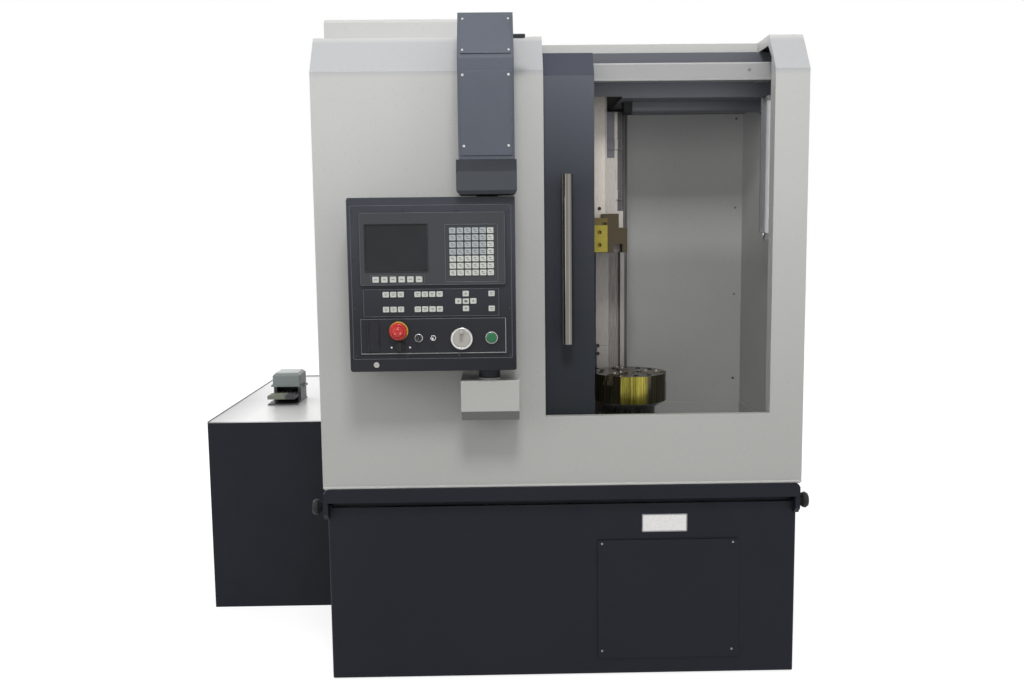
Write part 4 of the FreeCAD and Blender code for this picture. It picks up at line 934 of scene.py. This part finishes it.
def world():
    """White backdrop; as light it is brighter from above than from below."""
    studio = bpy.data.worlds.new("studio")
    bpy.context.scene.world = studio
    studio.use_nodes = True
    nodes, links = studio.node_tree.nodes, studio.node_tree.links
    nodes.clear()
    output = nodes.new("ShaderNodeOutputWorld")
    coordinates = nodes.new("ShaderNodeTexCoord")
    parts = nodes.new("ShaderNodeSeparateXYZ")
    links.new(coordinates.outputs["Generated"], parts.inputs["Vector"])
    span = nodes.new("ShaderNodeMapRange")
    span.inputs["From Min"].default_value = -0.3
    span.inputs["From Max"].default_value = 0.7
    links.new(parts.outputs["Z"], span.inputs["Value"])
    soft = nodes.new("ShaderNodeBackground")
    links.new(ramp(nodes, links, span.outputs["Result"], [(0.0, 0.20), (0.3, 0.40), (1.0, 1.0)]),
              soft.inputs["Color"])
    soft.inputs["Strength"].default_value = 1.0
    seen = nodes.new("ShaderNodeBackground")
    seen.inputs["Color"].default_value = (1, 1, 1, 1)
    seen.inputs["Strength"].default_value = 1.0
    choose = nodes.new("ShaderNodeMixShader")
    links.new(seen_directly(nodes, links), choose.inputs["Fac"])
    links.new(soft.outputs[0], choose.inputs[1])
    links.new(seen.outputs[0], choose.inputs[2])
    links.new(choose.outputs[0], output.inputs["Surface"])


def floor():
    bm = bmesh.new()
    corners = [bm.verts.new(Vector(c)) for c in
               ((-FLOOR_REACH, -FLOOR_REACH, 0), (FLOOR_REACH, -FLOOR_REACH, 0),
                (FLOOR_REACH, FLOOR_REACH, 0), (-FLOOR_REACH, FLOOR_REACH, 0))]
    bm.faces.new(corners)
    mesh = bpy.data.meshes.new("floor")
    bm.to_mesh(mesh)
    bm.free()
    thing = bpy.data.objects.new("floor", mesh)
    bpy.context.scene.collection.objects.link(thing)
    material, nodes, links, surface = new_material("floor_white")
    tint = ramp(nodes, links, noise(nodes, links, 1.5), [(0.3, 0.29), (0.7, 0.31)])
    links.new(tint, surface.inputs["Base Color"])
    surface.inputs["Roughness"].default_value = 0.9
    surface.inputs["Specular IOR Level"].default_value = 0.0
    glow = nodes.new("ShaderNodeEmission")
    glow.inputs["Color"].default_value = (1, 1, 1, 1)
    scale = nodes.new("ShaderNodeMath")
    scale.operation = "MULTIPLY"
    scale.inputs[1].default_value = FLOOR_GLOW
    links.new(seen_directly(nodes, links), scale.inputs[0])
    links.new(scale.outputs[0], glow.inputs["Strength"])
    add = nodes.new("ShaderNodeAddShader")
    links.new(surface.outputs[0], add.inputs[0])
    links.new(glow.outputs[0], add.inputs[1])
    links.new(add.outputs[0], nodes["Material Output"].inputs["Surface"])
    mesh.materials.append(material)


def lamps():
    for name, spot, target, energy, size in (
            ("key", (620, -2500, 3900), (750, 0, 1300), 60, 0.7),
            ("fill", (-2600, -3300, 2200), (650, 0, 1300), 26, 2.5),
            ("low", (3400, -3400, 1200), (1100, 640, 1750), 8, 2.0),
            ("side", (-1700, 2500, 2700), (-300, 1500, 850), 28, 2.0),
            ("back", (1000, 5300, 3800), (750, 900, 1000), 36, 3.5)):
        data = bpy.data.lights.new(name, "AREA")
        data.energy = energy
        data.size = size
        lamp = bpy.data.objects.new(name, data)
        lamp.location = place(*spot)
        aim = place(*target) - place(*spot)
        lamp.rotation_euler = aim.to_track_quat("-Z", "Y").to_euler()
        bpy.context.scene.collection.objects.link(lamp)


def camera():
    """Camera of the reference view: 33.87 mm lens, turned and tilted slightly down."""
    yaw, pitch, roll = -0.0144, 0.1102, 0.0113
    forward = Vector((-math.sin(yaw) * math.cos(pitch), math.cos(yaw) * math.cos(pitch),
                      -math.sin(pitch)))
    right = Vector((math.cos(yaw), math.sin(yaw), 0))
    down = forward.cross(right)
    level_right = right * math.cos(roll) + down * math.sin(roll)
    level_down = down * math.cos(roll) - right * math.sin(roll)
    data = bpy.data.cameras.new("reference")
    data.sensor_width = 36.0
    data.lens = CAMERA_LENS
    data.clip_end = 60
    thing = bpy.data.objects.new("reference", data)
    turn = Matrix((level_right, -level_down, -forward)).transposed()
    thing.matrix_world = Matrix.Translation(place(*CAMERA_PLACE)) @ turn.to_4x4()
    bpy.context.scene.collection.objects.link(thing)
    bpy.context.scene.camera = thing


paint_cad_nodes()
base_details()
side_details()
arm_details()
chamber_details()
slide_details()
chuck_details()
console_keys()
console_details()
estop_details()
small_controls()
handwheel_details()
port_details()
pedal_details()
world()
floor()
lamps()
camera()
bpy.context.scene.view_settings.view_transform = "Standard"
